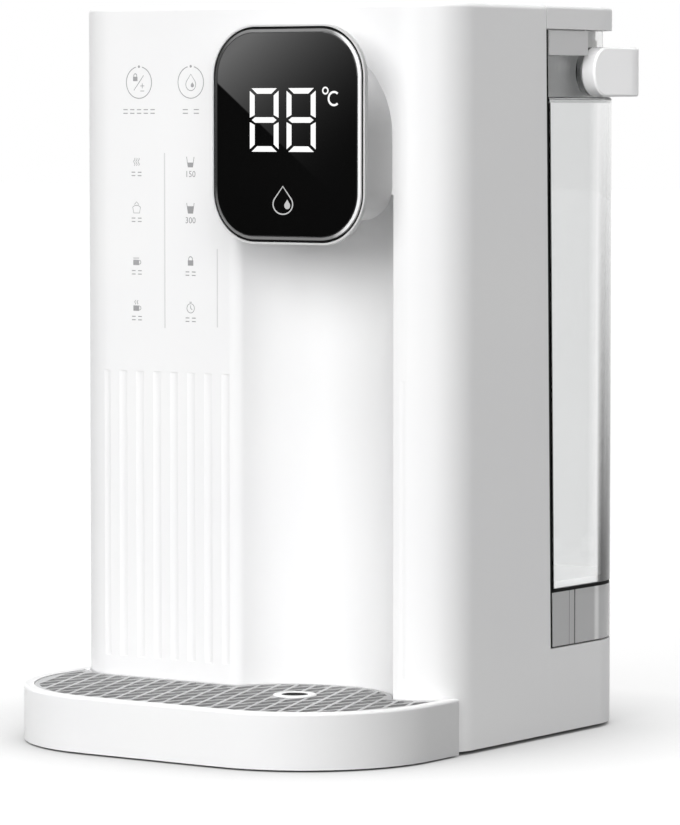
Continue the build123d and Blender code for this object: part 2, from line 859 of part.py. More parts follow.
# Tank base: skirt under the tank floor, open below, with short ribs at both sides
with BuildPart() as skirt_space:
    with BuildSketch(Plane.XY.offset(deck_height)):
        add(bay_plan(tank_wall, tank_wall, back_radius - tank_wall))
    extrude(amount=tank_base_height - tank_base_roof)
    split(bisect_by=skirt_plane.offset(-tank_wall), keep=Keep.BOTTOM)

rib_x = half_width - tank_wall - tank_rib_length / 2
rib_y = front_y + seam_deck_depth + tank_rib_set_back

with BuildPart() as tank_base:
    with BuildSketch(Plane.XY.offset(deck_height)):
        add(bay_plan(0, 0, back_radius))
    extrude(amount=tank_base_height)
    split(bisect_by=skirt_plane, keep=Keep.BOTTOM)
    with BuildSketch(Plane.XY.offset(deck_height)):
        add(bay_plan(0, 0, back_radius))
        add(
            bay_plan(tank_foot_inset, tank_foot_inset, back_radius - tank_foot_inset),
            mode=Mode.SUBTRACT,
        )
    extrude(amount=tank_foot_height, mode=Mode.SUBTRACT)
    add(skirt_space.part, mode=Mode.SUBTRACT)
    with BuildSketch(Plane.XY.offset(deck_height)):
        with Locations(*[(side * rib_x, rib_y) for side in (-1, 1)]):
            Rectangle(tank_rib_length, tank_rib)
    extrude(amount=tank_base_height)
    with Locations((valve_x, valve_y, tank_seal_z - tank_base_roof)):
        Cylinder(valve_radius + fit, tank_base_roof, align=stand, mode=Mode.SUBTRACT)
tank_base.part.label = "tank_base"

# Lid: thick plate, side skirts ahead of the handle, and a plug with a gasket
plug_inset = neck_inset + tank_wall + slip + lid_seal_width
plug_back_inset = neck_back_inset + tank_wall + slip + lid_seal_width
plug_corner = neck_corner - tank_wall - slip - lid_seal_width
lid_front_y = front_y + seam_top_depth + lid_gap
skirt_y = lid_front_y + tank_gap + lid_skirt_inset + lid_skirt_run / 2
plug_plane = tank_plane.offset(-tank_wall - slip - lid_seal_width)
skirt_width = neck_inset - slip - lid_skirt_inset
groove_width = skirt_width - lid_groove_depth

with BuildPart() as lid_plug:
    with BuildSketch(Plane.XY.offset(lid_z - lid_plug_height)):
        add(bay_plan(plug_inset, plug_back_inset, plug_corner))
    extrude(amount=lid_plug_height)
    split(bisect_by=plug_plane, keep=Keep.BOTTOM)

with BuildPart() as plug_space:
    with BuildSketch(Plane.XY.offset(lid_z - lid_plug_height)):
        add(bay_plan(plug_inset + lid_plug_wall, plug_back_inset + lid_plug_wall, plug_corner / 2))
    extrude(amount=lid_plug_height)
    split(bisect_by=plug_plane.offset(-lid_plug_wall), keep=Keep.BOTTOM)

with BuildPart() as tank_lid:
    with BuildSketch(Plane.XY.offset(lid_z)):
        add(bay_plan(0, 0, back_radius))
    extrude(amount=lid_thickness)
    split(bisect_by=Plane.XZ.offset(-lid_front_y), keep=Keep.BOTTOM)
    fillet(tank_lid.faces().sort_by(Axis.Z)[-1].edges().sort_by(Axis.Y)[1:], lid_round)
    for width, low, high in ((skirt_width, lid_skirt, lid_groove), (groove_width, lid_groove, 0)):
        skirt_x = neck_half + slip + width / 2
        with BuildSketch(Plane.XY.offset(lid_z - low)):
            with Locations(*[(side * skirt_x, skirt_y) for side in (-1, 1)]):
                Rectangle(width, lid_skirt_run)
        extrude(amount=low - high)
    add(lid_plug.part)
    add(plug_space.part, mode=Mode.SUBTRACT)
tank_lid.part.label = "tank_lid"

with BuildPart() as lid_seal:
    with BuildSketch(Plane.XY.offset(lid_z - lid_plug_height)):
        add(
            bay_plan(
                plug_inset - lid_seal_width,
                plug_back_inset - lid_seal_width,
                plug_corner + lid_seal_width,
            )
        )
    extrude(amount=lid_seal_height)
    split(bisect_by=plug_plane.offset(lid_seal_width), keep=Keep.BOTTOM)
    add(lid_plug.part, mode=Mode.SUBTRACT)
lid_seal.part.label = "lid_seal"

# Handle: strap bent round the back of the neck, with round ends on the pins
handle_back_y = back_y + handle_reach
arm_front_y = pivot_y - handle_height / 2
arm_inner = half_width - handle_thickness

with BuildPart() as tank_handle:
    with BuildSketch(Plane.XY.offset(pivot_z - handle_height / 2)) as strap:
        with Locations((0, (arm_front_y + handle_back_y) / 2)):
            Rectangle(body_width, handle_back_y - arm_front_y)
        fillet(strap.vertices().group_by(Axis.Y)[-1], handle_corner)
        with BuildSketch(mode=Mode.SUBTRACT) as hollow:
            with Locations((0, (arm_front_y + handle_back_y) / 2 - handle_thickness)):
                Rectangle(2 * arm_inner, handle_back_y - arm_front_y)
            fillet(hollow.vertices().group_by(Axis.Y)[-1], handle_corner - handle_thickness)
    extrude(amount=handle_height)
    with BuildSketch(Plane.YZ.offset(-half_width)):
        with Locations((pivot_y, pivot_z)):
            Circle(handle_height / 2)
        with Locations(((pivot_y + handle_back_y) / 2, pivot_z)):
            Rectangle(handle_back_y - pivot_y, handle_height)
    extrude(amount=body_width, mode=Mode.INTERSECT)
    outer_faces = tank_handle.faces().filter_by(Axis.X).group_by(Axis.X)
    chamfer(outer_faces[0].edges() + outer_faces[-1].edges(), handle_edge / 2)
    with BuildSketch(Plane.YZ.offset(arm_inner), Plane.YZ.offset(-arm_inner - pin_in_arm)):
        with Locations((pivot_y, pivot_z)):
            Circle(pin_radius + running)
    extrude(amount=pin_in_arm, mode=Mode.SUBTRACT)
tank_handle.part.label = "tank_handle"

pin_length = boss_length + arm_gap + pin_in_arm - 2 * running
with BuildPart() as handle_pins:
    with BuildSketch(
        Plane.YZ.offset(neck_half + running), Plane.YZ.offset(-neck_half - running - pin_length)
    ):
        with Locations((pivot_y, pivot_z)):
            Circle(pin_radius)
    extrude(amount=pin_length)
handle_pins.part.label = "handle_pins"

# Check valve: flanged body held by a nut, sprung poppet with its gasket, cap and strainer
valve_top = tank_floor_top + valve_flange
nut_z = tank_seal_z - tank_base_roof - valve_nut

with BuildPart() as valve_body:
    with Locations((valve_x, valve_y, valve_z)):
        Cylinder(valve_radius, valve_top - valve_z, align=stand)
    with Locations((valve_x, valve_y, tank_floor_top)):
        Cylinder(valve_flange_radius, valve_flange, align=stand)
    with Locations((valve_x, valve_y, valve_z)):
        Cylinder(valve_bore, valve_seat_foot, align=stand, mode=Mode.SUBTRACT)
        Cylinder(valve_seat_hole, valve_top - valve_z, align=stand, mode=Mode.SUBTRACT)
    with Locations((valve_x, valve_y, seat_top)):
        Cylinder(valve_bore, valve_top - seat_top, align=stand, mode=Mode.SUBTRACT)
valve_body.part.label = "valve_body"

with BuildPart() as valve_nut_part:
    with BuildSketch(Plane.XY.offset(nut_z)):
        with Locations((valve_x, valve_y)):
            RegularPolygon(valve_nut_radius, 6)
            Circle(valve_radius + running, mode=Mode.SUBTRACT)
    extrude(amount=valve_nut)
valve_nut_part.part.label = "valve_nut"

with BuildPart() as valve_poppet:
    with Locations((valve_x, valve_y, poppet_z)):
        Cylinder(poppet_radius, poppet_height, align=stand)
    with Locations((valve_x, valve_y, stem_foot)):
        Cylinder(stem_radius, poppet_z - stem_foot, align=stand)
valve_poppet.part.label = "valve_poppet"

with BuildPart() as valve_gasket:
    with Locations((valve_x, valve_y, seat_top)):
        Cylinder(gasket_radius, gasket_height, align=stand)
        Cylinder(stem_radius + running, gasket_height, align=stand, mode=Mode.SUBTRACT)
valve_gasket.part.label = "valve_gasket"

spring_rise = spring_height - 2 * spring_wire
with BuildPart() as valve_spring:
    with BuildLine() as coil:
        Helix(
            spring_rise / spring_turns,
            spring_rise,
            spring_radius,
            center=(valve_x, valve_y, poppet_z + poppet_height + spring_wire),
        )
    with BuildSketch(Plane(origin=coil.line @ 0, z_dir=coil.line % 0)):
        Circle(spring_wire)
    sweep(path=coil.line, is_frenet=True)
valve_spring.part.label = "valve_spring"

with BuildPart() as valve_cap:
    with BuildSketch(Plane.XY.offset(cap_z)):
        with Locations((valve_x, valve_y)):
            Circle(valve_bore - running)
            with PolarLocations(cap_ring, cap_holes):
                Circle(cap_hole, mode=Mode.SUBTRACT)
    extrude(amount=cap_height)
valve_cap.part.label = "valve_cap"

with BuildPart() as tank_filter:
    with Locations((valve_x, valve_y, valve_top)):
        Cylinder(filter_radius, filter_height, align=stand)
        Cylinder(
            filter_radius - filter_wall,
            filter_height - filter_wall,
            align=stand,
            mode=Mode.SUBTRACT,
        )
    with BuildSketch(Plane.XY.offset(valve_top)):
        with Locations((valve_x, valve_y)):
            with PolarLocations(filter_radius, filter_slots):
                Rectangle(4 * filter_wall, filter_slot)
    extrude(amount=filter_height - 2 * filter_wall, mode=Mode.SUBTRACT)
tank_filter.part.label = "tank_filter"

# Socket in the deck: collar round the valve's foot, pin under its stem, and a side port
socket_bore = valve_radius + slip + seal_ring
socket_radius = socket_bore + socket_wall
socket_floor_z = deck_height - socket_depth
chamber_z = socket_floor_z - chamber_drop

with BuildPart() as tank_socket:
    with Locations((valve_x, valve_y, socket_floor_z - socket_floor)):
        Cylinder(socket_radius, socket_depth + socket_floor + socket_rise, align=stand)
    with Locations((valve_x, valve_y, deck_height - wall - socket_flange_height)):
        Cylinder(socket_radius + socket_flange, socket_flange_height, align=stand)
    with Locations((valve_x, valve_y, chamber_z)):
        Cylinder(chamber_radius, socket_floor_z - chamber_z, align=stand)
    with BuildSketch(Plane.XZ.offset(-valve_y)):
        with Locations((valve_x, port_z)):
            Circle(hose_radius)
    extrude(amount=chamber_radius + port_length)
    with Locations((valve_x, valve_y, socket_floor_z)):
        Cylinder(socket_bore, socket_depth + socket_rise, align=stand, mode=Mode.SUBTRACT)
    with Locations((valve_x, valve_y, chamber_z + socket_floor)):
        Cylinder(
            chamber_radius - socket_floor,
            socket_floor_z - chamber_z,
            align=stand,
            mode=Mode.SUBTRACT,
        )
    with BuildSketch(Plane.XZ.offset(-valve_y)):
        with Locations((valve_x, port_z)):
            Circle(hose_bore)
    extrude(amount=chamber_radius + port_length, mode=Mode.SUBTRACT)
    with Locations((valve_x, valve_y, chamber_z)):
        Cylinder(valve_pin_radius, stem_foot - pin_tip_gap - chamber_z, align=stand)
tank_socket.part.label = "tank_socket"

with BuildPart() as socket_seal:
    with Locations((valve_x, valve_y, socket_floor_z)):
        Cylinder(socket_bore - running, socket_depth + socket_rise - socket_floor, align=stand)
        Cylinder(
            valve_radius + seal_ring_gap,
            socket_depth + socket_rise - socket_floor,
            align=stand,
            mode=Mode.SUBTRACT,
        )
socket_seal.part.label = "socket_seal"

# Pump on its rubber cradle
pump_head_end = pump_head_x + pump_head_length
pump_port_top = pump_z + pump_head_radius + pump_port_rise
motor_end = pump_head_x - pump_motor_length

with BuildPart() as pump:
    with BuildSketch(Plane.YZ.offset(motor_end)):
        with Locations((pump_y, pump_z)):
            Circle(pump_motor_radius)
    extrude(amount=pump_motor_length)
    with BuildSketch(Plane.YZ.offset(motor_end - pump_cap_length)):
        with Locations((pump_y, pump_z)):
            Circle(pump_cap_radius)
    extrude(amount=pump_cap_length)
    with BuildSketch(Plane.YZ.offset(pump_head_x)):
        with Locations((pump_y, pump_z)):
            Circle(pump_head_radius)
    extrude(amount=pump_head_length)
    chamfer(pump.edges().group_by(Axis.X)[-1], edge_round)
    with BuildSketch(Plane.YZ.offset(pump_head_end)):
        with Locations((pump_y, pump_z)):
            Circle(hose_radius)
    extrude(amount=port_length)
    with Locations((pump_port_x, pump_y, pump_z)):
        Cylinder(hose_radius, pump_port_top - pump_z, align=stand)
pump.part.label = "pump"

cradle_x = pump_head_x - pump_motor_length / 2
with BuildPart() as pump_cradle:
    with BuildSketch(Plane.XY.offset(plate_top)):
        with Locations((cradle_x, pump_y)):
            Rectangle(cradle_length, cradle_width)
    extrude(amount=cradle_height)
    with BuildSketch(Plane.YZ.offset(cradle_x - cradle_length / 2)):
        with Locations((pump_y, pump_z)):
            Circle(pump_motor_radius + running)
    extrude(amount=cradle_length, mode=Mode.SUBTRACT)
pump_cradle.part.label = "pump_cradle"

# Heater with its end caps and ports, and what is clipped to it
heater_port_z = heater_foot + heater_cap / 2
heater_port_x = heater_x - heater_cap_radius - port_length

with BuildPart() as heater:
    with Locations((heater_x, heater_y, heater_foot)):
        Cylinder(heater_cap_radius, heater_cap, align=stand)
        Cylinder(heater_radius, heater_height, align=stand)
    with Locations((heater_x, heater_y, heater_top - heater_cap)):
        Cylinder(heater_cap_radius, heater_cap, align=stand)
    with Locations((heater_x, heater_y, heater_top)):
        Cylinder(hose_radius, heater_port, align=stand)
    with BuildSketch(Plane.YZ.offset(heater_port_x)):
        with Locations((heater_y, heater_port_z)):
            Circle(hose_radius)
    extrude(amount=heater_x - heater_port_x)
heater.part.label = "heater"

clip_low = heater_foot + heater_cap + clip_margin
clip_high = heater_top - heater_cap - clip_margin - clip_height
with BuildPart() as heater_clips:
    for clip_z in (clip_low, clip_high):
        with BuildSketch(Plane.XY.offset(clip_z)):
            with Locations((heater_x, heater_y)):
                Circle(heater_radius + clip_wall)
            with Locations((heater_x, (heater_y + front_y + seam_deck_depth) / 2)):
                Rectangle(clip_foot, front_y + seam_deck_depth - heater_y)
            with Locations((heater_x, heater_y)):
                Circle(heater_radius + running, mode=Mode.SUBTRACT)
        extrude(amount=clip_height)
    split(bisect_by=wall_plane, keep=Keep.TOP)
heater_clips.part.label = "heater_clips"

cutout_z = heater_foot + cutout_share * heater_height
with BuildPart() as thermal_cutout:
    with BuildSketch(Plane.XZ.offset(-heater_y)):
        with Locations((heater_x, cutout_z)):
            Circle(cutout_radius)
    extrude(amount=heater_radius + cutout_thickness)
    with Locations((heater_x, heater_y, cutout_z - cutout_radius)):
        Cylinder(heater_radius + running, 2 * cutout_radius, align=stand, mode=Mode.SUBTRACT)
thermal_cutout.part.label = "thermal_cutout"

with BuildPart() as temperature_sensor:
    with BuildSketch(Plane.YZ.offset(heater_x - heater_cap_radius - sensor_length)):
        with Locations((heater_y, heater_top - heater_cap / 2)):
            Circle(sensor_radius)
    extrude(amount=heater_cap_radius + sensor_length)
    with BuildSketch(Plane.YZ.offset(heater_x - heater_cap_radius - sensor_nut_length)):
        with Locations((heater_y, heater_top - heater_cap / 2)):
            RegularPolygon(sensor_nut, 6)
    extrude(amount=heater_cap_radius + sensor_nut_length)
    with Locations((heater_x, heater_y, heater_top - heater_cap)):
        Cylinder(heater_cap_radius + running, heater_cap, align=stand, mode=Mode.SUBTRACT)
temperature_sensor.part.label = "temperature_sensor"

# Hoses between socket, pump, heater and spout
inlet_tube = hose(
    (valve_x, valve_y - chamber_radius - port_length, port_z),
    (valve_x, pump_y, port_z),
    (pump_port_end, pump_y, pump_z),
)
inlet_tube.label = "inlet_tube"
pump_tube = hose(
    (pump_port_x, pump_y, pump_port_top),
    (pump_port_x, pump_y, heater_port_z),
    (heater_port_x, pump_y, heater_port_z),
)
pump_tube.label = "pump_tube"
outlet_tube = hose(
    (heater_x, heater_y, heater_top + heater_port),
    (heater_x, heater_y, head_z),
    (head_x, nozzle_y, head_z),
    (head_x, nozzle_y, nozzle_top),
)
outlet_tube.label = "outlet_tube"

# Power board on the posts of the rear wall, with its larger components
with BuildPart() as power_board:
    with BuildSketch(board_plane):
        with Locations((power_x, power_up)):
            Rectangle(power_width, power_height)
    extrude(amount=board_thickness)
    with BuildSketch(board_plane.offset(board_thickness)):
        with Locations((power_x - power_width / 4, power_up + power_height / 4)):
            Rectangle(power_width / 3, power_width / 3)
    extrude(amount=2 * standoff)
    with BuildSketch(board_plane.offset(board_thickness)):
        with Locations((power_x + power_width / 5, power_up + power_height / 4)):
            with GridLocations(0, 2 * standoff, 1, 2):
                Circle(standoff - edge_round)
    extrude(amount=2 * standoff)
    with BuildSketch(board_plane.offset(board_thickness)):
        with Locations((power_x, power_up - power_height / 4)):
            Rectangle(power_width / 2, power_width / 5)
    extrude(amount=2 * standoff - edge_round)
power_board.part.label = "power_board"

# Bush in the back of the base where the mains lead passes
with BuildPart() as cord_gland:
    with BuildSketch(Plane.XZ.offset(-back_y - gland_flange)):
        with Locations((gland_x, gland_z)):
            Circle(gland_flange_radius)
            Circle(gland_bore, mode=Mode.SUBTRACT)
    extrude(amount=gland_flange)
    with BuildSketch(Plane.XZ.offset(-back_y)):
        with Locations((gland_x, gland_z)):
            Circle(gland_radius)
            Circle(gland_bore, mode=Mode.SUBTRACT)
    extrude(amount=wall + gland_tail)
cord_gland.part.label = "cord_gland"

pieces = [
    front_housing.part,
    bay_trim.part,
    rear_wall.part,
    base_housing.part,
    bottom_plate.part,
    rubber_feet.part,
    base_screws.part,
    head_shell.part,
    display_gasket.part,
    display_bezel.part,
    display_glass.part,
    display_board.part,
    outlet_nozzle.part,
    flow_straightener.part,
    touch_board.part,
    drip_tray.part,
    tray_pads.part,
    drip_grille.part,
    drain_ring.part,
    drain_plug.part,
    water_tank.part,
    tank_liner.part,
    tank_seal.part,
    tank_base.part,
    tank_lid.part,
    lid_seal.part,
    tank_handle.part,
    handle_pins.part,
    valve_body.part,
    valve_nut_part.part,
    valve_poppet.part,
    valve_gasket.part,
    valve_spring.part,
    valve_cap.part,
    tank_filter.part,
    tank_socket.part,
    socket_seal.part,
    pump.part,
    pump_cradle.part,
    heater.part,
    heater_clips.part,
    thermal_cutout.part,
    temperature_sensor.part,
    inlet_tube,
    pump_tube,
    outlet_tube,
    power_board.part,
    cord_gland.part,
]

os.makedirs("parts", exist_ok=True)
for piece in pieces:
    export_step(piece, f"parts/{piece.label}.step")
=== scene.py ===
import json
from math import acos, cos, degrees, pi, radians, sin

import bmesh
import bpy
from mathutils import Matrix, Vector


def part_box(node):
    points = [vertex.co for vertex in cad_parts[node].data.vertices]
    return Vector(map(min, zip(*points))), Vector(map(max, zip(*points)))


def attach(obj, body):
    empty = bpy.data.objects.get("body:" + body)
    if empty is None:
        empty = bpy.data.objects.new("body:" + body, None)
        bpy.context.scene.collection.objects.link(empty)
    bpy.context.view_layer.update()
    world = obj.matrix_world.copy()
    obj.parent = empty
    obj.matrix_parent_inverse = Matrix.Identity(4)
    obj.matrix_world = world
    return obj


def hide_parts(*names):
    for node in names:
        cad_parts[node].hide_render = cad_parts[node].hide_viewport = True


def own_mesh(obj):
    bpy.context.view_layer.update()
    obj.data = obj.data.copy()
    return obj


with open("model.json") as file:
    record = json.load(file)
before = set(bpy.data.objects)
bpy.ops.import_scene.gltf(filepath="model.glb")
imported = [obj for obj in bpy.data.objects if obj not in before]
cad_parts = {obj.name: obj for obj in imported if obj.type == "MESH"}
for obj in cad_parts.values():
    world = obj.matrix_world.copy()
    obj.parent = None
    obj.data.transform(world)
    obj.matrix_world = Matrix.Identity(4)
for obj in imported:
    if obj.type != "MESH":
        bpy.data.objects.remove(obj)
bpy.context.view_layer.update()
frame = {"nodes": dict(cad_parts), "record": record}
nodes = frame["nodes"]
mm = 0.001

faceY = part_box("front_housing")[0].y  # printed front face
glassLow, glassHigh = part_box("display_glass")
glassY = glassLow.y
headX = (glassLow.x + glassHigh.x) / 2
headZ = (glassLow.z + glassHigh.z) / 2
print("frame loaded")


# materials


def newMaterial(name):
    material = bpy.data.materials.new(name)
    material.use_nodes = True
    tree = material.node_tree
    return material, tree, tree.nodes["Principled BSDF"], tree.nodes.new("ShaderNodeTexCoord")


def noiseOn(tree, coords, scale, detail=2.0, stretch=(1, 1, 1)):
    mapping = tree.nodes.new("ShaderNodeMapping")
    mapping.inputs["Scale"].default_value = stretch
    noise = tree.nodes.new("ShaderNodeTexNoise")
    noise.inputs["Scale"].default_value = scale
    noise.inputs["Detail"].default_value = detail
    tree.links.new(coords.outputs["Object"], mapping.inputs["Vector"])
    tree.links.new(mapping.outputs["Vector"], noise.inputs["Vector"])
    return noise.outputs["Fac"]


noiseLow, noiseHigh = 0.3, 0.7  # where most of the noise lies


def rangeOn(tree, value, socket, low, high):
    remap = tree.nodes.new("ShaderNodeMapRange")
    remap.inputs["From Min"].default_value = noiseLow
    remap.inputs["From Max"].default_value = noiseHigh
    remap.inputs["To Min"].default_value = low
    remap.inputs["To Max"].default_value = high
    tree.links.new(value, remap.inputs["Value"])
    tree.links.new(remap.outputs["Result"], socket)


def colourOn(tree, value, socket, dark, light):
    ramp = tree.nodes.new("ShaderNodeValToRGB")
    ramp.color_ramp.elements[0].position = noiseLow
    ramp.color_ramp.elements[0].color = (*dark, 1)
    ramp.color_ramp.elements[1].position = noiseHigh
    ramp.color_ramp.elements[1].color = (*light, 1)
    tree.links.new(value, ramp.inputs["Fac"])
    tree.links.new(ramp.outputs["Color"], socket)


def bumpOn(tree, value, shader, strength, distance):
    bump = tree.nodes.new("ShaderNodeBump")
    bump.inputs["Strength"].default_value = strength
    bump.inputs["Distance"].default_value = distance
    tree.links.new(value, bump.inputs["Height"])
    tree.links.new(bump.outputs["Normal"], shader.inputs["Normal"])


def grainFinish(name, look):
    # moulded or cast surface: slow colour drift, fine grain in gloss and relief
    material, tree, shader, coords = newMaterial(name)
    drift = noiseOn(tree, coords, look.get("drift", 14), 1.0)
    grain = noiseOn(tree, coords, look["grain"], 2.0, look.get("stretch", (1, 1, 1)))
    colourOn(tree, drift, shader.inputs["Base Color"], look["dark"], look["light"])
    rangeOn(tree, grain, shader.inputs["Roughness"], *look["rough"])
    bumpOn(tree, grain, shader, look["relief"], look.get("depth", 0.05 * mm))
    shader.inputs["Metallic"].default_value = look.get("metal", 0.0)
    shader.inputs["IOR"].default_value = look.get("ior", 1.5)
    shader.inputs["Specular IOR Level"].default_value = look.get("gloss", 0.5)
    shader.inputs["Transmission Weight"].default_value = look.get("through", 0.0)
    if "absorb" in look:
        depth = tree.nodes.new("ShaderNodeVolumeAbsorption")
        depth.inputs["Color"].default_value = (*look["absorb"][0], 1)
        depth.inputs["Density"].default_value = look["absorb"][1]
        tree.links.new(depth.outputs["Volume"], tree.nodes["Material Output"].inputs["Volume"])
    return material


finishes = {
    "white": {
        "dark": (0.80, 0.80, 0.805), "light": (0.82, 0.82, 0.82), "rough": (0.34, 0.42),
        "grain": 1800, "relief": 0.05,
    },
    # darker copy of white, painted shade: the lid's skirt under its rim and the handle's pins
    "whitePaintedShade": {
        "dark": (0.62, 0.62, 0.625), "light": (0.66, 0.66, 0.66), "rough": (0.34, 0.42),
        "grain": 1800, "relief": 0.05,
    },
    "whiteGloss": {
        "dark": (0.82, 0.82, 0.825), "light": (0.84, 0.84, 0.84), "rough": (0.05, 0.09),
        "grain": 900, "relief": 0.02,
    },
    "innerPlastic": {
        "dark": (0.24, 0.25, 0.26), "light": (0.29, 0.30, 0.31), "rough": (0.5, 0.62),
        "grain": 1500, "relief": 0.1,
    },
    "darkPlastic": {
        "dark": (0.008, 0.008, 0.009), "light": (0.012, 0.012, 0.013), "rough": (0.55, 0.7),
        "grain": 1500, "relief": 0.1,
    },
    "clear": {
        "dark": (0.895, 0.9, 0.9), "light": (0.915, 0.92, 0.92), "rough": (0.0, 0.03),
        "grain": 60, "relief": 0.02, "ior": 1.49, "through": 1.0,
        "absorb": ((0.5, 0.51, 0.51), 60.0),
    },
    "smoke": {
        "dark": (0.60, 0.60, 0.605), "light": (0.64, 0.64, 0.645), "rough": (0.1, 0.16),
        "grain": 80, "relief": 0.02, "ior": 1.49, "through": 0.3,
    },
    "blackGlass": {
        "dark": (0.002, 0.002, 0.002), "light": (0.003, 0.003, 0.003), "rough": (0.0, 0.006),
        "grain": 40, "relief": 0.0, "ior": 1.5,
    },
    "brightRing": {
        "dark": (0.88, 0.88, 0.885), "light": (0.92, 0.92, 0.92), "rough": (0.12, 0.18),
        "grain": 900, "relief": 0.0, "metal": 0.2,
    },
    "grilleMetal": {
        "dark": (0.45, 0.45, 0.455), "light": (0.53, 0.53, 0.535), "rough": (0.3, 0.46),
        "grain": 500, "stretch": (1, 14, 1), "relief": 0.12, "metal": 1.0, "drift": 60,
    },
    # walls in the grille's openings: matt like cut edges, darker as painted shade
    "grillePaintedShade": {
        "dark": (0.29, 0.29, 0.292), "light": (0.36, 0.36, 0.362), "rough": (0.5, 0.65),
        "grain": 700, "relief": 0.1, "drift": 60,
    },
    "blackRubber": {
        "dark": (0.006, 0.006, 0.006), "light": (0.010, 0.010, 0.010), "rough": (0.6, 0.8),
        "grain": 2400, "relief": 0.2, "gloss": 0.05,
    },
    "silicone": {
        "dark": (0.62, 0.62, 0.6), "light": (0.68, 0.68, 0.66), "rough": (0.35, 0.45),
        "grain": 900, "relief": 0.05, "through": 0.2,
    },
    "board": {
        "dark": (0.012, 0.07, 0.03), "light": (0.02, 0.1, 0.045), "rough": (0.3, 0.45),
        "grain": 1200, "relief": 0.1, "drift": 120,
    },
    "steel": {
        "dark": (0.42, 0.43, 0.44), "light": (0.54, 0.55, 0.56), "rough": (0.25, 0.4),
        "grain": 700, "stretch": (1, 1, 12), "relief": 0.08, "metal": 1.0,
    },
    "brass": {
        "dark": (0.5, 0.34, 0.12), "light": (0.62, 0.44, 0.18), "rough": (0.25, 0.4),
        "grain": 900, "relief": 0.06, "metal": 1.0,
    },
    "print": {
        "dark": (0.27, 0.27, 0.275), "light": (0.33, 0.33, 0.335), "rough": (0.5, 0.6),
        "grain": 2500, "relief": 0.05,
    },
    "printPale": {
        "dark": (0.60, 0.60, 0.605), "light": (0.64, 0.64, 0.645), "rough": (0.5, 0.6),
        "grain": 2500, "relief": 0.05,
    },
}
paints = {name: grainFinish(name, look) for name, look in finishes.items()}


def mathOn(tree, operation, *values):
    made = tree.nodes.new("ShaderNodeMath")
    made.operation = operation
    for socket, value in zip(made.inputs, values):
        if isinstance(value, (int, float)):
            socket.default_value = value
        else:
            tree.links.new(value, socket)
    return made.outputs[0]


def stepOn(tree, value, low, high):
    step = tree.nodes.new("ShaderNodeMapRange")
    step.inputs["From Min"].default_value = low
    step.inputs["From Max"].default_value = high
    tree.links.new(value, step.inputs["Value"])
    return step.outputs["Result"]


def tintOn(tree, socket, amount, colour):
    # lays a colour over whatever the socket shows so far
    mix = tree.nodes.new("ShaderNodeMixRGB")
    mix.inputs[2].default_value = (*colour, 1)
    tree.links.new(amount, mix.inputs[0])
    tree.links.new(socket.links[0].from_socket, mix.inputs[1])
    tree.links.new(mix.outputs[0], socket)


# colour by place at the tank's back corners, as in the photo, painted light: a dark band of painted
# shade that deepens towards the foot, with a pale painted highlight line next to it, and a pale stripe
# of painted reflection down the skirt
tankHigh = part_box("water_tank")[1]
# dark is the painted shade at the back corners, pale the painted highlight and painted reflection
paintedCornerLight = {
    "across": 0.821, "back": 0.571, "radius": 32.5 * mm, "soft": 1.0 * mm, "line": 2.0 * mm,
    "paintedReflectionStreak": (-1.2 * mm, 1.6 * mm), "dark": (0.06, 0.06, 0.06), "pale": (1, 1, 1),
    "foot": 70 * mm, "head": 255 * mm, "side": (86 * mm, 89 * mm),
}
cornerStart = paintedCornerLight["across"] * tankHigh.x + paintedCornerLight["back"] * (tankHigh.y - paintedCornerLight["radius"])


def reachOn(tree):
    # distance out towards the back corners, a mask for the sides, and the place itself
    split = tree.nodes.new("ShaderNodeSeparateXYZ")
    tree.links.new(tree.nodes["Texture Coordinate"].outputs["Object"], split.inputs[0])
    wide = mathOn(tree, "ABSOLUTE", split.outputs["X"])
    reach = mathOn(tree, "MULTIPLY", wide, paintedCornerLight["across"])
    reach = mathOn(tree, "MULTIPLY_ADD", split.outputs["Y"], paintedCornerLight["back"], reach)
    reach = mathOn(tree, "SUBTRACT", reach, cornerStart)
    return reach, stepOn(tree, wide, *paintedCornerLight["side"]), split.outputs


tree = paints["clear"].node_tree
reach, aside, place = reachOn(tree)
colour = tree.nodes["Principled BSDF"].inputs["Base Color"]
# painted highlight: a pale line next to the painted shade band
paintedHighlightLine = stepOn(tree, reach, -paintedCornerLight["line"], paintedCornerLight["soft"] - paintedCornerLight["line"])
tintOn(tree, colour, paintedHighlightLine, paintedCornerLight["pale"])
# painted shade: the dark band at the back corners, deeper towards the foot
paintedShadeBand = mathOn(tree, "MULTIPLY", aside, stepOn(tree, reach, 0, paintedCornerLight["soft"]))
paintedShadeToFoot = stepOn(tree, place["Z"], paintedCornerLight["head"], paintedCornerLight["foot"])
tintOn(tree, colour, mathOn(tree, "MULTIPLY", paintedShadeBand, paintedShadeToFoot), paintedCornerLight["dark"])

tree = paints["smoke"].node_tree
reach, aside, place = reachOn(tree)
colour = tree.nodes["Principled BSDF"].inputs["Base Color"]
# painted reflection: a pale stripe down the skirt's back corners
begin, end = paintedCornerLight["paintedReflectionStreak"]
paintedReflectionStart = mathOn(tree, "MULTIPLY", aside, stepOn(tree, reach, begin, begin + paintedCornerLight["soft"]))
paintedReflectionStreak = mathOn(tree, "MULTIPLY", paintedReflectionStart, stepOn(tree, reach, end, end - paintedCornerLight["soft"]))
tintOn(tree, colour, paintedReflectionStreak, paintedCornerLight["pale"])

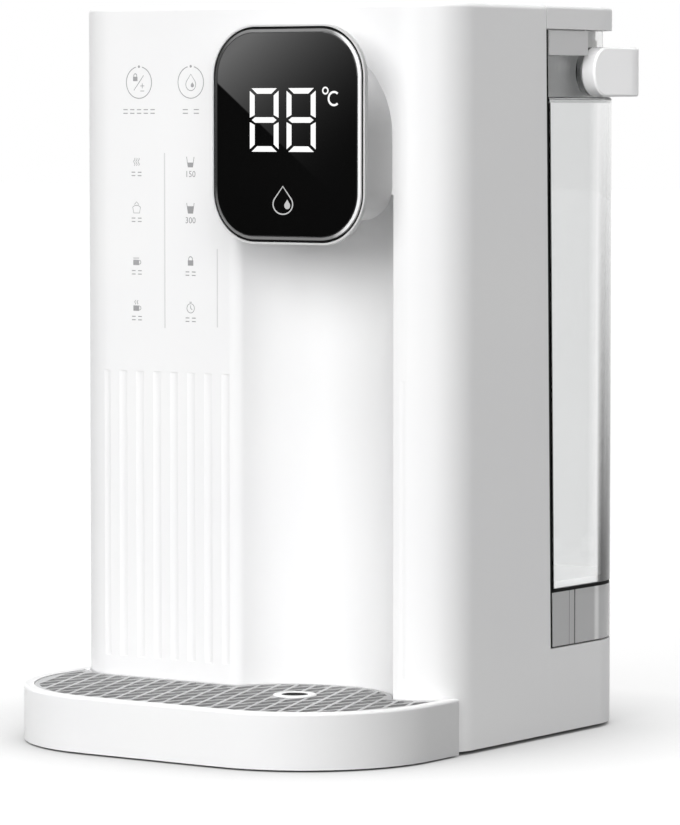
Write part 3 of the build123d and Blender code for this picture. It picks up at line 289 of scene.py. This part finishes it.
# joint lines down both sides of the skirt, and a dark line of painted shade at its foot
joint = {
    "lines": ((45.8 * mm, 0.28 * mm), (50.0 * mm, 0.95 * mm)), "soft": 0.04 * mm,
    "foot": 0.75 * mm, "dark": (0.1, 0.1, 0.1), "paintedFootShade": (0.03, 0.03, 0.03),
}
for middle, width in joint["lines"]:
    off = mathOn(tree, "ABSOLUTE", mathOn(tree, "SUBTRACT", place["Y"], middle))
    line = stepOn(tree, off, width / 2 + joint["soft"], width / 2 - joint["soft"])
    tintOn(tree, colour, mathOn(tree, "MULTIPLY", aside, line), joint["dark"])
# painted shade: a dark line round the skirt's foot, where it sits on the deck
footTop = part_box("tank_base")[0].z + joint["foot"]
tintOn(tree, colour, stepOn(tree, place["Z"], footTop, footTop - joint["soft"]), joint["paintedFootShade"])

# colour by place on the bright ring, as in the photo, painted shade: grey above and below, dark at its
# left
ringPaintedShade = {
    "grey": (0.2, 0.2, 0.2), "greyFrom": (29 * mm, 22 * mm),
    "dark": (0.02, 0.02, 0.02), "darkFrom": (-23 * mm, -32 * mm), "darkFoot": (-34 * mm, -20 * mm),
}
tree = paints["brightRing"].node_tree
split = tree.nodes.new("ShaderNodeSeparateXYZ")
tree.links.new(tree.nodes["Texture Coordinate"].outputs["Object"], split.inputs[0])
across = mathOn(tree, "SUBTRACT", split.outputs["X"], headX)
colour = tree.nodes["Principled BSDF"].inputs["Base Color"]
tintOn(tree, colour, stepOn(tree, across, *ringPaintedShade["greyFrom"]), ringPaintedShade["grey"])
upward = mathOn(tree, "SUBTRACT", split.outputs["Z"], headZ)
# painted shade: darker at the ring's left
paintedShadeLeft = stepOn(tree, across, *ringPaintedShade["darkFrom"])
paintedShadeLeft = mathOn(tree, "MULTIPLY", paintedShadeLeft, stepOn(tree, upward, *ringPaintedShade["darkFoot"]))
tintOn(tree, colour, paintedShadeLeft, ringPaintedShade["dark"])


lampBase = {"colour": (0.02, 0.02, 0.02), "grain": 300, "least": 0.97}


def lampFinish(name, strength):
    material, tree, shader, coords = newMaterial(name)
    shader.inputs["Base Color"].default_value = (*lampBase["colour"], 1)
    shader.inputs["Emission Color"].default_value = (1, 1, 1, 1)
    glow = noiseOn(tree, coords, lampBase["grain"], 1.0)
    rangeOn(tree, glow, shader.inputs["Emission Strength"], lampBase["least"] * strength, strength)
    return material


paints["lit"] = lampFinish("lit", 1.0)
paints["litSoft"] = lampFinish("litSoft", 0.5)
print("materials ready")


# pieces carried over from the solids


def finishPiece(mesh, name, body, paint):
    piece = bpy.data.objects.new(name, mesh)
    bpy.context.scene.collection.objects.link(piece)
    mesh.materials.clear()
    mesh.materials.append(paints[paint])
    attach(piece, body)
    return piece


edging = {"merge": 0.001 * mm, "segments": 3, "angle": 40}


def skinOf(node, name, body, paint, edge, sharp):
    # edge is the rounding in mm, sharp the angle in degrees from which an edge stays hard
    mesh = bpy.data.meshes.new(name)
    shape = bmesh.new()
    shape.from_mesh(nodes[node].data)
    bmesh.ops.remove_doubles(shape, verts=shape.verts, dist=edging["merge"])
    for face in shape.faces:
        face.smooth = True
    for line in shape.edges:
        line.smooth = line.calc_face_angle(0.0) < radians(sharp)
    shape.to_mesh(mesh)
    shape.free()
    for layer in [a.name for a in mesh.attributes if a.name == "custom_normal"]:
        mesh.attributes.remove(mesh.attributes[layer])
    piece = finishPiece(mesh, name, body, paint)
    if edge:
        rounding = piece.modifiers.new("edges", "BEVEL")
        rounding.width = edge * mm
        rounding.segments = edging["segments"]
        rounding.limit_method = "ANGLE"
        rounding.angle_limit = radians(edging["angle"])
        rounding.use_clamp_overlap = True
    weights = piece.modifiers.new("shading", "WEIGHTED_NORMAL")
    weights.keep_sharp = True
    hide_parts(node)
    return piece


skins = {
    "housing": ("front_housing", "machine", "white", "white", 0.35, 20),
    "base": ("base_housing", "machine", "white", "white", 0.35, 24),
    "head": ("head_shell", "machine", "white", "white", 0.25, 32),
    "ring": ("display_bezel", "machine", "brightRing", "bright_ring", 0.0, 40),
    "glass": ("display_glass", "machine", "blackGlass", "black_glass", 0.0, 30),
    "spout": ("outlet_nozzle", "machine", "steel", "steel", 0.3, 24),
    "tray": ("drip_tray", "tray", "white", "white", 0.3, 24),
    "grille": ("drip_grille", "grille", "grilleMetal", "grille_metal", 0.0, 24),
    "drain": ("drain_ring", "grille", "white", "white", 0.2, 24),
    "tank": ("water_tank", "tank", "clear", "clear", 0.3, 24),
    "liner": ("tank_liner", "tank", "whiteGloss", "white", 0.2, 24),
    "seal": ("tank_seal", "tank", "blackRubber", "black_rubber", 0.0, 24),
    "skirt": ("tank_base", "tank", "smoke", "smoke", 0.3, 24),
    "lid": ("tank_lid", "lid", "white", "white", 0.35, 24),
    "handle": ("tank_handle", "handle", "white", "white", 0.35, 24),
    # the pins wear the darker copy of white, painted shade
    "pins": ("handle_pins", "tank", "whitePaintedShade", "inner_plastic", 0.3, 24),
    "spring": ("valve_spring", "tank", "steel", "steel", 0.0, 40),
}
made = {}
for name, (node, body, paint, slotName, edge, sharp) in skins.items():
    made[name] = skinOf(node, name, body, paint, edge, sharp)
made["tank"].visible_shadow = False  # light reaches what stands in the clear tank

# the valve's spring: the middle of its top is found from its box, and it gets a mesh of its own
springLow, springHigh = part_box("valve_spring")
springTop = (springLow + springHigh) / 2
springTop.z = springHigh.z
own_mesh(made["spring"])

# metal on the grille's top faces; the walls in its openings are matt like cut edges, and darker as
# painted shade for the dark openings
mesh = made["grille"].data
mesh.materials.append(paints["grillePaintedShade"])
for polygon in mesh.polygons:
    polygon.material_index = 0 if polygon.normal.z > 0.5 else 1

# the lid's skirt, under its rim, gets the darker copy of white, painted shade for the shadow under the
# rim
mesh = made["lid"].data
mesh.materials.append(paints["whitePaintedShade"])
lidRim = 9.6 * mm
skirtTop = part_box("tank_lid")[1].z - lidRim
for polygon in mesh.polygons:
    polygon.material_index = 1 if polygon.center.z < skirtTop else 0

slotPaints = {
    "white": "white", "inner_plastic": "innerPlastic", "dark_plastic": "darkPlastic",
    "clear": "clear", "smoke": "smoke", "black_glass": "blackGlass",
    "bright_ring": "brightRing", "grille_metal": "grilleMetal", "black_rubber": "blackRubber",
    "silicone": "silicone", "board": "board", "steel": "steel", "brass": "brass",
}
for part in frame["record"]["subparts"]:
    mesh = nodes[part["node"]].data
    mesh.materials.clear()
    mesh.materials.append(paints[slotPaints[part["material_slot"]]])
print("solids dressed")


# flat marks on a face that looks to the front


def addPlate(shape, outline, y, thick):
    # a few corners, pulled out of the face into a thin plate
    face = shape.faces.new([shape.verts.new((x, y, z)) for x, z in outline])
    pulled = bmesh.ops.extrude_face_region(shape, geom=[face])
    lifted = [v for v in pulled["geom"] if isinstance(v, bmesh.types.BMVert)]
    bmesh.ops.translate(shape, verts=lifted, vec=(0, -thick, 0))


def addStroke(shape, path, width, y, thick, closed=False):
    # round wire along the path, pressed flat onto the face
    line = bpy.data.curves.new("stroke", "CURVE")
    line.dimensions = "3D"
    line.bevel_depth = width / 2
    line.bevel_resolution = 1
    line.use_fill_caps = True
    spline = line.splines.new("POLY")
    spline.points.add(len(path) - 1)
    for point, (x, z) in zip(spline.points, path):
        point.co = (x, 0, z, 1)
    spline.use_cyclic_u = closed
    holder = bpy.data.objects.new("stroke", line)
    mesh = bpy.data.meshes.new_from_object(holder)
    mesh.transform(Matrix.Translation((0, y, 0)) @ Matrix.Diagonal((1, 2 * thick / width, 1, 1)))
    shape.from_mesh(mesh)
    bpy.data.objects.remove(holder)
    bpy.data.curves.remove(line)
    bpy.data.meshes.remove(mesh)


def addNumber(shape, words, size, x, z, y, thick):
    line = bpy.data.curves.new("number", "FONT")
    line.body = words
    line.size = size
    line.align_x = "CENTER"
    line.align_y = "CENTER"
    line.extrude = thick
    line.resolution_u = 3
    holder = bpy.data.objects.new("number", line)
    mesh = bpy.data.meshes.new_from_object(holder)
    mesh.transform(Matrix.Translation((x, y, z)) @ Matrix.Rotation(pi / 2, 4, "X"))
    shape.from_mesh(mesh)
    bpy.data.objects.remove(holder)
    bpy.data.curves.remove(line)
    bpy.data.meshes.remove(mesh)


def markPiece(shape, name, paint):
    bmesh.ops.recalc_face_normals(shape, faces=shape.faces)
    mesh = bpy.data.meshes.new(name)
    shape.to_mesh(mesh)
    shape.free()
    return finishPiece(mesh, name, "machine", paint)


def arcPath(x, z, radius, start, stop, steps=40):
    angles = [radians(start + (stop - start) * i / steps) for i in range(steps + 1)]
    return [(x + radius * cos(a), z + radius * sin(a)) for a in angles]


def dropPath(x, z, radius, height, steps=28):
    # round belly with two straight sides that touch it and meet in a point
    side = degrees(acos(radius / height))
    belly = arcPath(x, z, radius, 90 + side, 450 - side, steps)
    return belly + [(x, z + height)]


def discPath(x, z, radius, steps=20):
    return arcPath(x, z, radius, 0, 360 - 360 / steps, steps - 1)


# display: two lit digits, the degree mark and the drop

display = {
    "digitWidth": 14.1 * mm, "digitHeight": 25.3 * mm, "bar": 2.2 * mm, "side": 2.35 * mm,
    "lefts": (-17.95 * mm, 0.1 * mm), "foot": -6.85 * mm, "thick": 0.06 * mm,
    "degree": (18.9 * mm, 17.4 * mm, 1.25 * mm, 0.7 * mm),
    "letter": (23.05 * mm, 14.25 * mm, 2.6 * mm, 0.95 * mm),
    "drop": (-1.8 * mm, -27.7 * mm, 4.0 * mm, 7.1 * mm, 0.6 * mm), "dropStretch": 1.2,
    "bead": (0.35 * mm, -28.25 * mm, 1.4 * mm, 2.4 * mm),
}


def digitBars(left, foot):
    w, h = display["digitWidth"], display["digitHeight"]
    t, side = display["bar"], display["side"]
    c = h / 2
    near, far = 0.85 * mm, 3.55 * mm
    top = [(near, h), (w - near, h), (w - far, h - t), (far, h - t)]
    tip, run = 1.0 * mm, 2.6 * mm
    middle = [
        (tip, c), (run, c + t / 2), (w - run, c + t / 2),
        (w - tip, c), (w - run, c - t / 2), (run, c - t / 2),
    ]
    upper = [(0, h - 1.05 * mm), (side, h - 2.85 * mm), (side, c + 2.0 * mm), (0, c + 0.9 * mm)]
    bars = [top, middle, upper]
    bars.append([(x, h - z) for x, z in top])
    bars.append([(w - x, z) for x, z in upper])
    bars.append([(x, h - z) for x, z in upper])
    bars.append([(w - x, h - z) for x, z in upper])
    return [[(headX + left + x, headZ + foot + z) for x, z in bar] for bar in bars]


shape = bmesh.new()
for left in display["lefts"]:
    for bar in digitBars(left, display["foot"]):
        addPlate(shape, bar, glassY, display["thick"])
x, z, radius, width = display["degree"]
ringPath = arcPath(headX + x, headZ + z, radius, 0, 345, 23)
addStroke(shape, ringPath, width, glassY, display["thick"], closed=True)
x, z, radius, width = display["letter"]
addStroke(shape, arcPath(headX + x, headZ + z, radius, 48, 312), width, glassY, display["thick"])
markPiece(shape, "digits", "lit")

shape = bmesh.new()
x, z, radius, height, width = display["drop"]
stretch = display["dropStretch"]
outline = [(headX + x + a * stretch, headZ + z + b) for a, b in dropPath(0, 0, radius, height)]
addStroke(shape, outline, width, glassY, display["thick"], closed=True)
x, z, radius, height = display["bead"]
addPlate(shape, dropPath(headX + x, headZ + z, radius, height), glassY, display["thick"])
markPiece(shape, "dropMark", "litSoft")
print("display lit")


# printed panel: two rings, eight small marks, label bars, two plain numbers and dividers

panel = {
    "rings": ((-56.6 * mm, 268.9 * mm), (-30.0 * mm, 268.9 * mm)), "ringRadius": 6.5 * mm,
    "line": 0.42 * mm, "fine": 0.34 * mm, "thick": 0.03 * mm,
    "columns": (-58.0 * mm, -30.3 * mm), "rows": (236.3 * mm, 217.4 * mm, 195.7 * mm, 176.8 * mm),
    "labelDrop": 5.0 * mm, "ringLabelDrop": 11.9 * mm, "labelLine": 0.45 * mm,
    "ringLabels": ((5, 3.5 * mm, 2.2 * mm), (2, 5.6 * mm, 2.6 * mm)), "ringLabelTall": 1.5 * mm,
    "label": (2, 3.2 * mm, 1.9 * mm, 1.4 * mm), "numbers": ("150", "300"), "numberSize": 3.6 * mm,
    "dot": 0.55 * mm, "dividerLine": 0.5 * mm,
    "dividers": ((-43.5 * mm, 168 * mm, 240 * mm), (-16.7 * mm, 169 * mm, 201 * mm)),
}
fine, thick = panel["fine"], panel["thick"]
shape = bmesh.new()


def stroke(path, width=fine, closed=False):
    addStroke(shape, path, width, faceY, thick, closed)


def fill(path):
    addPlate(shape, path, faceY, thick)


def box(x, z, w, h):
    left, right, low, high = x - w / 2, x + w / 2, z - h / 2, z + h / 2
    return [(left, low), (right, low), (right, high), (left, high)]


def lockMark(x, z, s):
    fill(box(x, z - 0.55 * s, 2.4 * s, 1.9 * s))
    bow = arcPath(x, z + 0.9 * s, 0.8 * s, 180, 0, 12)
    stroke([(x - 0.8 * s, z + 0.3 * s)] + bow + [(x + 0.8 * s, z + 0.3 * s)])


def cupMark(x, z, level):
    sides = [(-1.9, 2.2), (-1.2, -2.0), (1.2, -2.0), (1.9, 2.2)]
    stroke([(x + a * mm, z + b * mm) for a, b in sides])
    top = level * 3.6 - 1.8
    reach = 1.2 + level * 0.55
    water = [(-1.1, -1.9), (1.1, -1.9), (reach, top), (-reach, top)]
    fill([(x + a * mm, z + b * mm) for a, b in water])


def wavesMark(x, z):
    for shift in (-1.1 * mm, 0, 1.1 * mm):
        curl = [0.35 * mm * sin(i * 0.9) for i in range(11)]
        stroke([(x + shift + a, z - 1.6 * mm + i * 0.32 * mm) for i, a in enumerate(curl)])


def flaskMark(x, z):
    body = [(-0.9, 0.9), (-2.0, 0.2), (-1.5, -2.2), (1.5, -2.2), (2.0, 0.2), (0.9, 0.9)]
    stroke([(x + a * mm, z + b * mm) for a, b in body], closed=True)
    stroke([(x - 1.1 * mm, z + 1.3 * mm), (x, z + 2.4 * mm), (x + 1.1 * mm, z + 1.3 * mm)])


def mugMark(x, z, steam):
    fill(box(x - 0.3 * mm, z - 0.9 * mm, 3.0 * mm, 2.2 * mm))
    stroke(arcPath(x + 1.3 * mm, z - 0.8 * mm, 0.8 * mm, 90, -90, 10))
    if steam:
        for shift in (-0.9 * mm, 0.3 * mm):
            curl = [0.25 * mm * sin(i * 1.2) for i in range(8)]
            stroke([(x + shift + a, z + 0.7 * mm + i * 0.25 * mm) for i, a in enumerate(curl)])
    else:
        stroke([(x - 1.8 * mm, z + 0.9 * mm), (x + 1.2 * mm, z + 0.9 * mm)])


def clockMark(x, z):
    stroke(arcPath(x, z - 0.3 * mm, 1.9 * mm, 0, 348, 29), closed=True)
    stroke([(x, z + 0.9 * mm), (x, z - 0.3 * mm), (x + 0.8 * mm, z - 0.9 * mm)])
    stroke([(x - 0.6 * mm, z + 2.2 * mm), (x + 0.6 * mm, z + 2.2 * mm)])


for index, (x, z) in enumerate(panel["rings"]):
    stroke(arcPath(x, z, panel["ringRadius"], 104, 436, 56), panel["line"])
    fill(discPath(x, z + panel["ringRadius"], panel["dot"]))
    if index == 0:
        lockMark(x - 1.9 * mm, z + 2.0 * mm, 0.95 * mm)
        stroke([(x - 2.6 * mm, z - 3.2 * mm), (x + 2.4 * mm, z + 2.9 * mm)])
        stroke([(x + 0.7 * mm, z - 1.4 * mm), (x + 2.7 * mm, z - 1.4 * mm)])
        stroke([(x + 1.7 * mm, z - 0.4 * mm), (x + 1.7 * mm, z - 2.4 * mm)])
        stroke([(x + 0.7 * mm, z - 3.5 * mm), (x + 2.7 * mm, z - 3.5 * mm)])
    else:
        stroke(dropPath(x, z - 0.9 * mm, 2.5 * mm, 4.2 * mm), closed=True)
        fill(dropPath(x + 0.8 * mm, z - 1.3 * mm, 0.8 * mm, 1.3 * mm))

left, right = panel["columns"]
rowA, rowB, rowC, rowD = panel["rows"]
wavesMark(left, rowA)
flaskMark(left, rowB)
mugMark(left, rowC, False)
mugMark(left, rowD, True)
cupMark(right, rowA, 0.45)
cupMark(right, rowB, 0.75)
lockMark(right, rowC, 1.15 * mm)
clockMark(right, rowD)
markPiece(shape, "panelMarks", "print")

# plain pairs of bars as labels, and plain numbers under the two cups
shape = bmesh.new()


def labelBars(x, z, count, pitch, wide, tall):
    for index in range(count):
        middle = x + (index - (count - 1) / 2) * pitch
        for level in (-tall / 2, tall / 2):
            stroke([(middle - wide / 2, z + level), (middle + wide / 2, z + level)], panel["labelLine"])


for (x, z), (count, pitch, wide) in zip(panel["rings"], panel["ringLabels"]):
    labelBars(x, z - panel["ringLabelDrop"], count, pitch, wide, panel["ringLabelTall"])
for row, z in enumerate(panel["rows"]):
    for x in (left, right):
        foot = z - panel["labelDrop"]
        if x == right and row < len(panel["numbers"]):
            addNumber(shape, panel["numbers"][row], panel["numberSize"], x, foot, faceY, thick)
        else:
            labelBars(x, foot, *panel["label"])
markPiece(shape, "panelNumbers", "print")

shape = bmesh.new()
for x, low, high in panel["dividers"]:
    addStroke(shape, [(x, low), (x, high)], panel["dividerLine"], faceY, thick)
markPiece(shape, "panelDividers", "printPale")
print("panel printed")


# stage: floor, world, lamps, camera and the card that the glass mirrors

studio = {
    "floor": 12.0, "floorColour": 0.28, "floorGlow": 0.72, "contact": 90 * mm,
    "skyDiffuse": 0.01, "skyShown": 1.0,
    "suns": {
        "top": {"turn": 0.0, "rise": 89.0, "soft": 60.0, "power": 2.25},
        "key": {"turn": -6.0, "rise": 24.0, "soft": 45.0, "power": 2.05, "spares": ("head",)},
        "brow": {"turn": -40.0, "rise": 24.0, "soft": 30.0, "power": 2.3, "only": ("head",)},
        "side": {"turn": 45.0, "rise": 20.0, "soft": 40.0, "power": 1.3, "spares": ("head", "tray")},
        "flank": {"turn": 27.0, "rise": 20.0, "soft": 40.0, "power": 1.0, "only": ("tray",)},
        "rear": {"turn": 150.0, "rise": 25.0, "soft": 40.0, "power": 0.2},
        "grip": {"turn": 30.0, "rise": 12.0, "soft": 30.0, "power": 1.75, "only": ("handle", "pins")},
        "well": {"turn": 100.0, "rise": 62.0, "soft": 30.0, "power": 1.5, "only": ("liner",)},
    },
}


def stageMaterial(name):
    material = bpy.data.materials.new(name)
    material.use_nodes = True
    material.node_tree.nodes.clear()
    return material, material.node_tree


def stageObject(name, shape, material):
    mesh = bpy.data.meshes.new(name)
    shape.to_mesh(mesh)
    shape.free()
    mesh.materials.append(material)
    made = bpy.data.objects.new(name, mesh)
    bpy.context.scene.collection.objects.link(made)
    return made


def shownOn(tree):
    # 1 for what the lens sees, straight, mirrored or through glass
    path = tree.nodes.new("ShaderNodeLightPath")
    straight = mathOn(tree, "MAXIMUM", path.outputs["Is Camera Ray"], path.outputs["Is Glossy Ray"])
    return mathOn(tree, "MAXIMUM", straight, path.outputs["Is Transmission Ray"])


floorPaint, tree = stageMaterial("floorPaint")
matt = tree.nodes.new("ShaderNodeBsdfDiffuse")
matt.inputs["Color"].default_value = (*[studio["floorColour"]] * 3, 1)
glow = tree.nodes.new("ShaderNodeEmission")
# painted contact shadow: the floor's glow is darkened close under the object
under = tree.nodes.new("ShaderNodeAmbientOcclusion")  # the glow fades out close under the object
under.inputs["Distance"].default_value = studio["contact"]
shine = mathOn(tree, "MULTIPLY", shownOn(tree), under.outputs["AO"])
tree.links.new(mathOn(tree, "MULTIPLY", shine, studio["floorGlow"]), glow.inputs["Strength"])
both = tree.nodes.new("ShaderNodeAddShader")
tree.links.new(matt.outputs[0], both.inputs[0])
tree.links.new(glow.outputs[0], both.inputs[1])
output = tree.nodes.new("ShaderNodeOutputMaterial")
tree.links.new(both.outputs[0], output.inputs["Surface"])
shape = bmesh.new()
bmesh.ops.create_grid(shape, x_segments=1, y_segments=1, size=studio["floor"])
stageObject("floor", shape, floorPaint)

world = bpy.data.worlds.new("studioSky")
bpy.context.scene.world = world
world.use_nodes = True
tree = world.node_tree
tree.nodes.clear()
sky = tree.nodes.new("ShaderNodeBackground")
sky.inputs["Color"].default_value = (1, 1, 1, 1)
spread = studio["skyShown"] - studio["skyDiffuse"]
level = mathOn(tree, "MULTIPLY_ADD", shownOn(tree), spread, studio["skyDiffuse"])
tree.links.new(level, sky.inputs["Strength"])
output = tree.nodes.new("ShaderNodeOutputWorld")
tree.links.new(sky.outputs[0], output.inputs["Surface"])

for name, sun in studio["suns"].items():
    data = bpy.data.lights.new(name, "SUN")
    data.angle = radians(sun["soft"])
    data.energy = sun["power"]
    holder = bpy.data.objects.new(name, data)
    bpy.context.scene.collection.objects.link(holder)
    holder.rotation_euler = (radians(90 - sun["rise"]), 0, radians(sun["turn"]))
    linked = sun.get("only", ()) + sun.get("spares", ())
    if linked:  # a lamp that lights these pieces only, or all but these
        flagged = bpy.data.collections.new(name)
        for piece in linked:
            flagged.objects.link(made[piece])
        for entry in flagged.collection_objects:
            entry.light_linking.link_state = "INCLUDE" if "only" in sun else "EXCLUDE"
        holder.light_linking.receiver_collection = flagged

view = {"azimuth": 34.84, "pitch": 3.74, "lens": 197.7, "place": (1.080, -1.488, 0.255)}
lens = bpy.data.cameras.new("photoView")
lens.sensor_width = 36
lens.sensor_fit = "AUTO"
lens.lens = view["lens"]
lens.clip_end = 50
camera = bpy.data.objects.new("photoView", lens)
bpy.context.scene.collection.objects.link(camera)
eye = Vector(view["place"]) + Vector((0, faceY, 0))
camera.location = eye
camera.rotation_euler = (radians(90 - view["pitch"]), 0, radians(view["azimuth"]))
bpy.context.scene.camera = camera

# card in front of the black glass, parallel to it: dark, with a pale slanting patch at its upper left
card = {
    "away": 0.5, "spare": 1.15, "slope": 0.78, "rise": 5.9 * mm, "pale": 3.0, "dark": 0.02,
    "soft": 0.3 * mm, "lean": -0.72, "fade": (-49.1 * mm, 52 * mm), "falloff": 3.36,
}
grow = 1 + card["away"] / (glassY - eye.y)
cardX = eye.x + (headX - eye.x) * grow
cardZ = eye.z + (headZ - eye.z) * grow
halfW = (glassHigh.x - glassLow.x) / 2 * grow * card["spare"]
halfH = (glassHigh.z - glassLow.z) / 2 * grow * card["spare"]
shape = bmesh.new()
corners = ((-halfW, -halfH), (halfW, -halfH), (halfW, halfH), (-halfW, halfH))
shape.faces.new([shape.verts.new((cardX + x, glassY - card["away"], cardZ + z)) for x, z in corners])
cardPaint, tree = stageMaterial("cardPaint")
coords = tree.nodes.new("ShaderNodeTexCoord")
split = tree.nodes.new("ShaderNodeSeparateXYZ")
tree.links.new(coords.outputs["Object"], split.inputs[0])
across = mathOn(tree, "MULTIPLY_ADD", split.outputs["X"], 1 / grow, -cardX / grow)
upward = mathOn(tree, "MULTIPLY_ADD", split.outputs["Z"], 1 / grow, -cardZ / grow)
edge = mathOn(tree, "MULTIPLY_ADD", across, card["slope"], upward)
cut = stepOn(tree, edge, -card["rise"] - card["soft"], -card["rise"] + card["soft"])
fade = stepOn(tree, mathOn(tree, "MULTIPLY_ADD", across, card["lean"], upward), *card["fade"])
pale = mathOn(tree, "MULTIPLY", mathOn(tree, "POWER", fade, card["falloff"]), card["pale"])
glow = tree.nodes.new("ShaderNodeEmission")
level = mathOn(tree, "MULTIPLY_ADD", cut, pale, card["dark"])
tree.links.new(level, glow.inputs["Strength"])
output = tree.nodes.new("ShaderNodeOutputMaterial")
tree.links.new(glow.outputs[0], output.inputs["Surface"])
mirrored = stageObject("reflectionCard", shape, cardPaint)
mirrored.visible_camera = False
mirrored.visible_diffuse = False
mirrored.visible_shadow = False
mirrored.visible_transmission = False

bpy.context.scene.view_settings.view_transform = "Standard"
print("stage set")
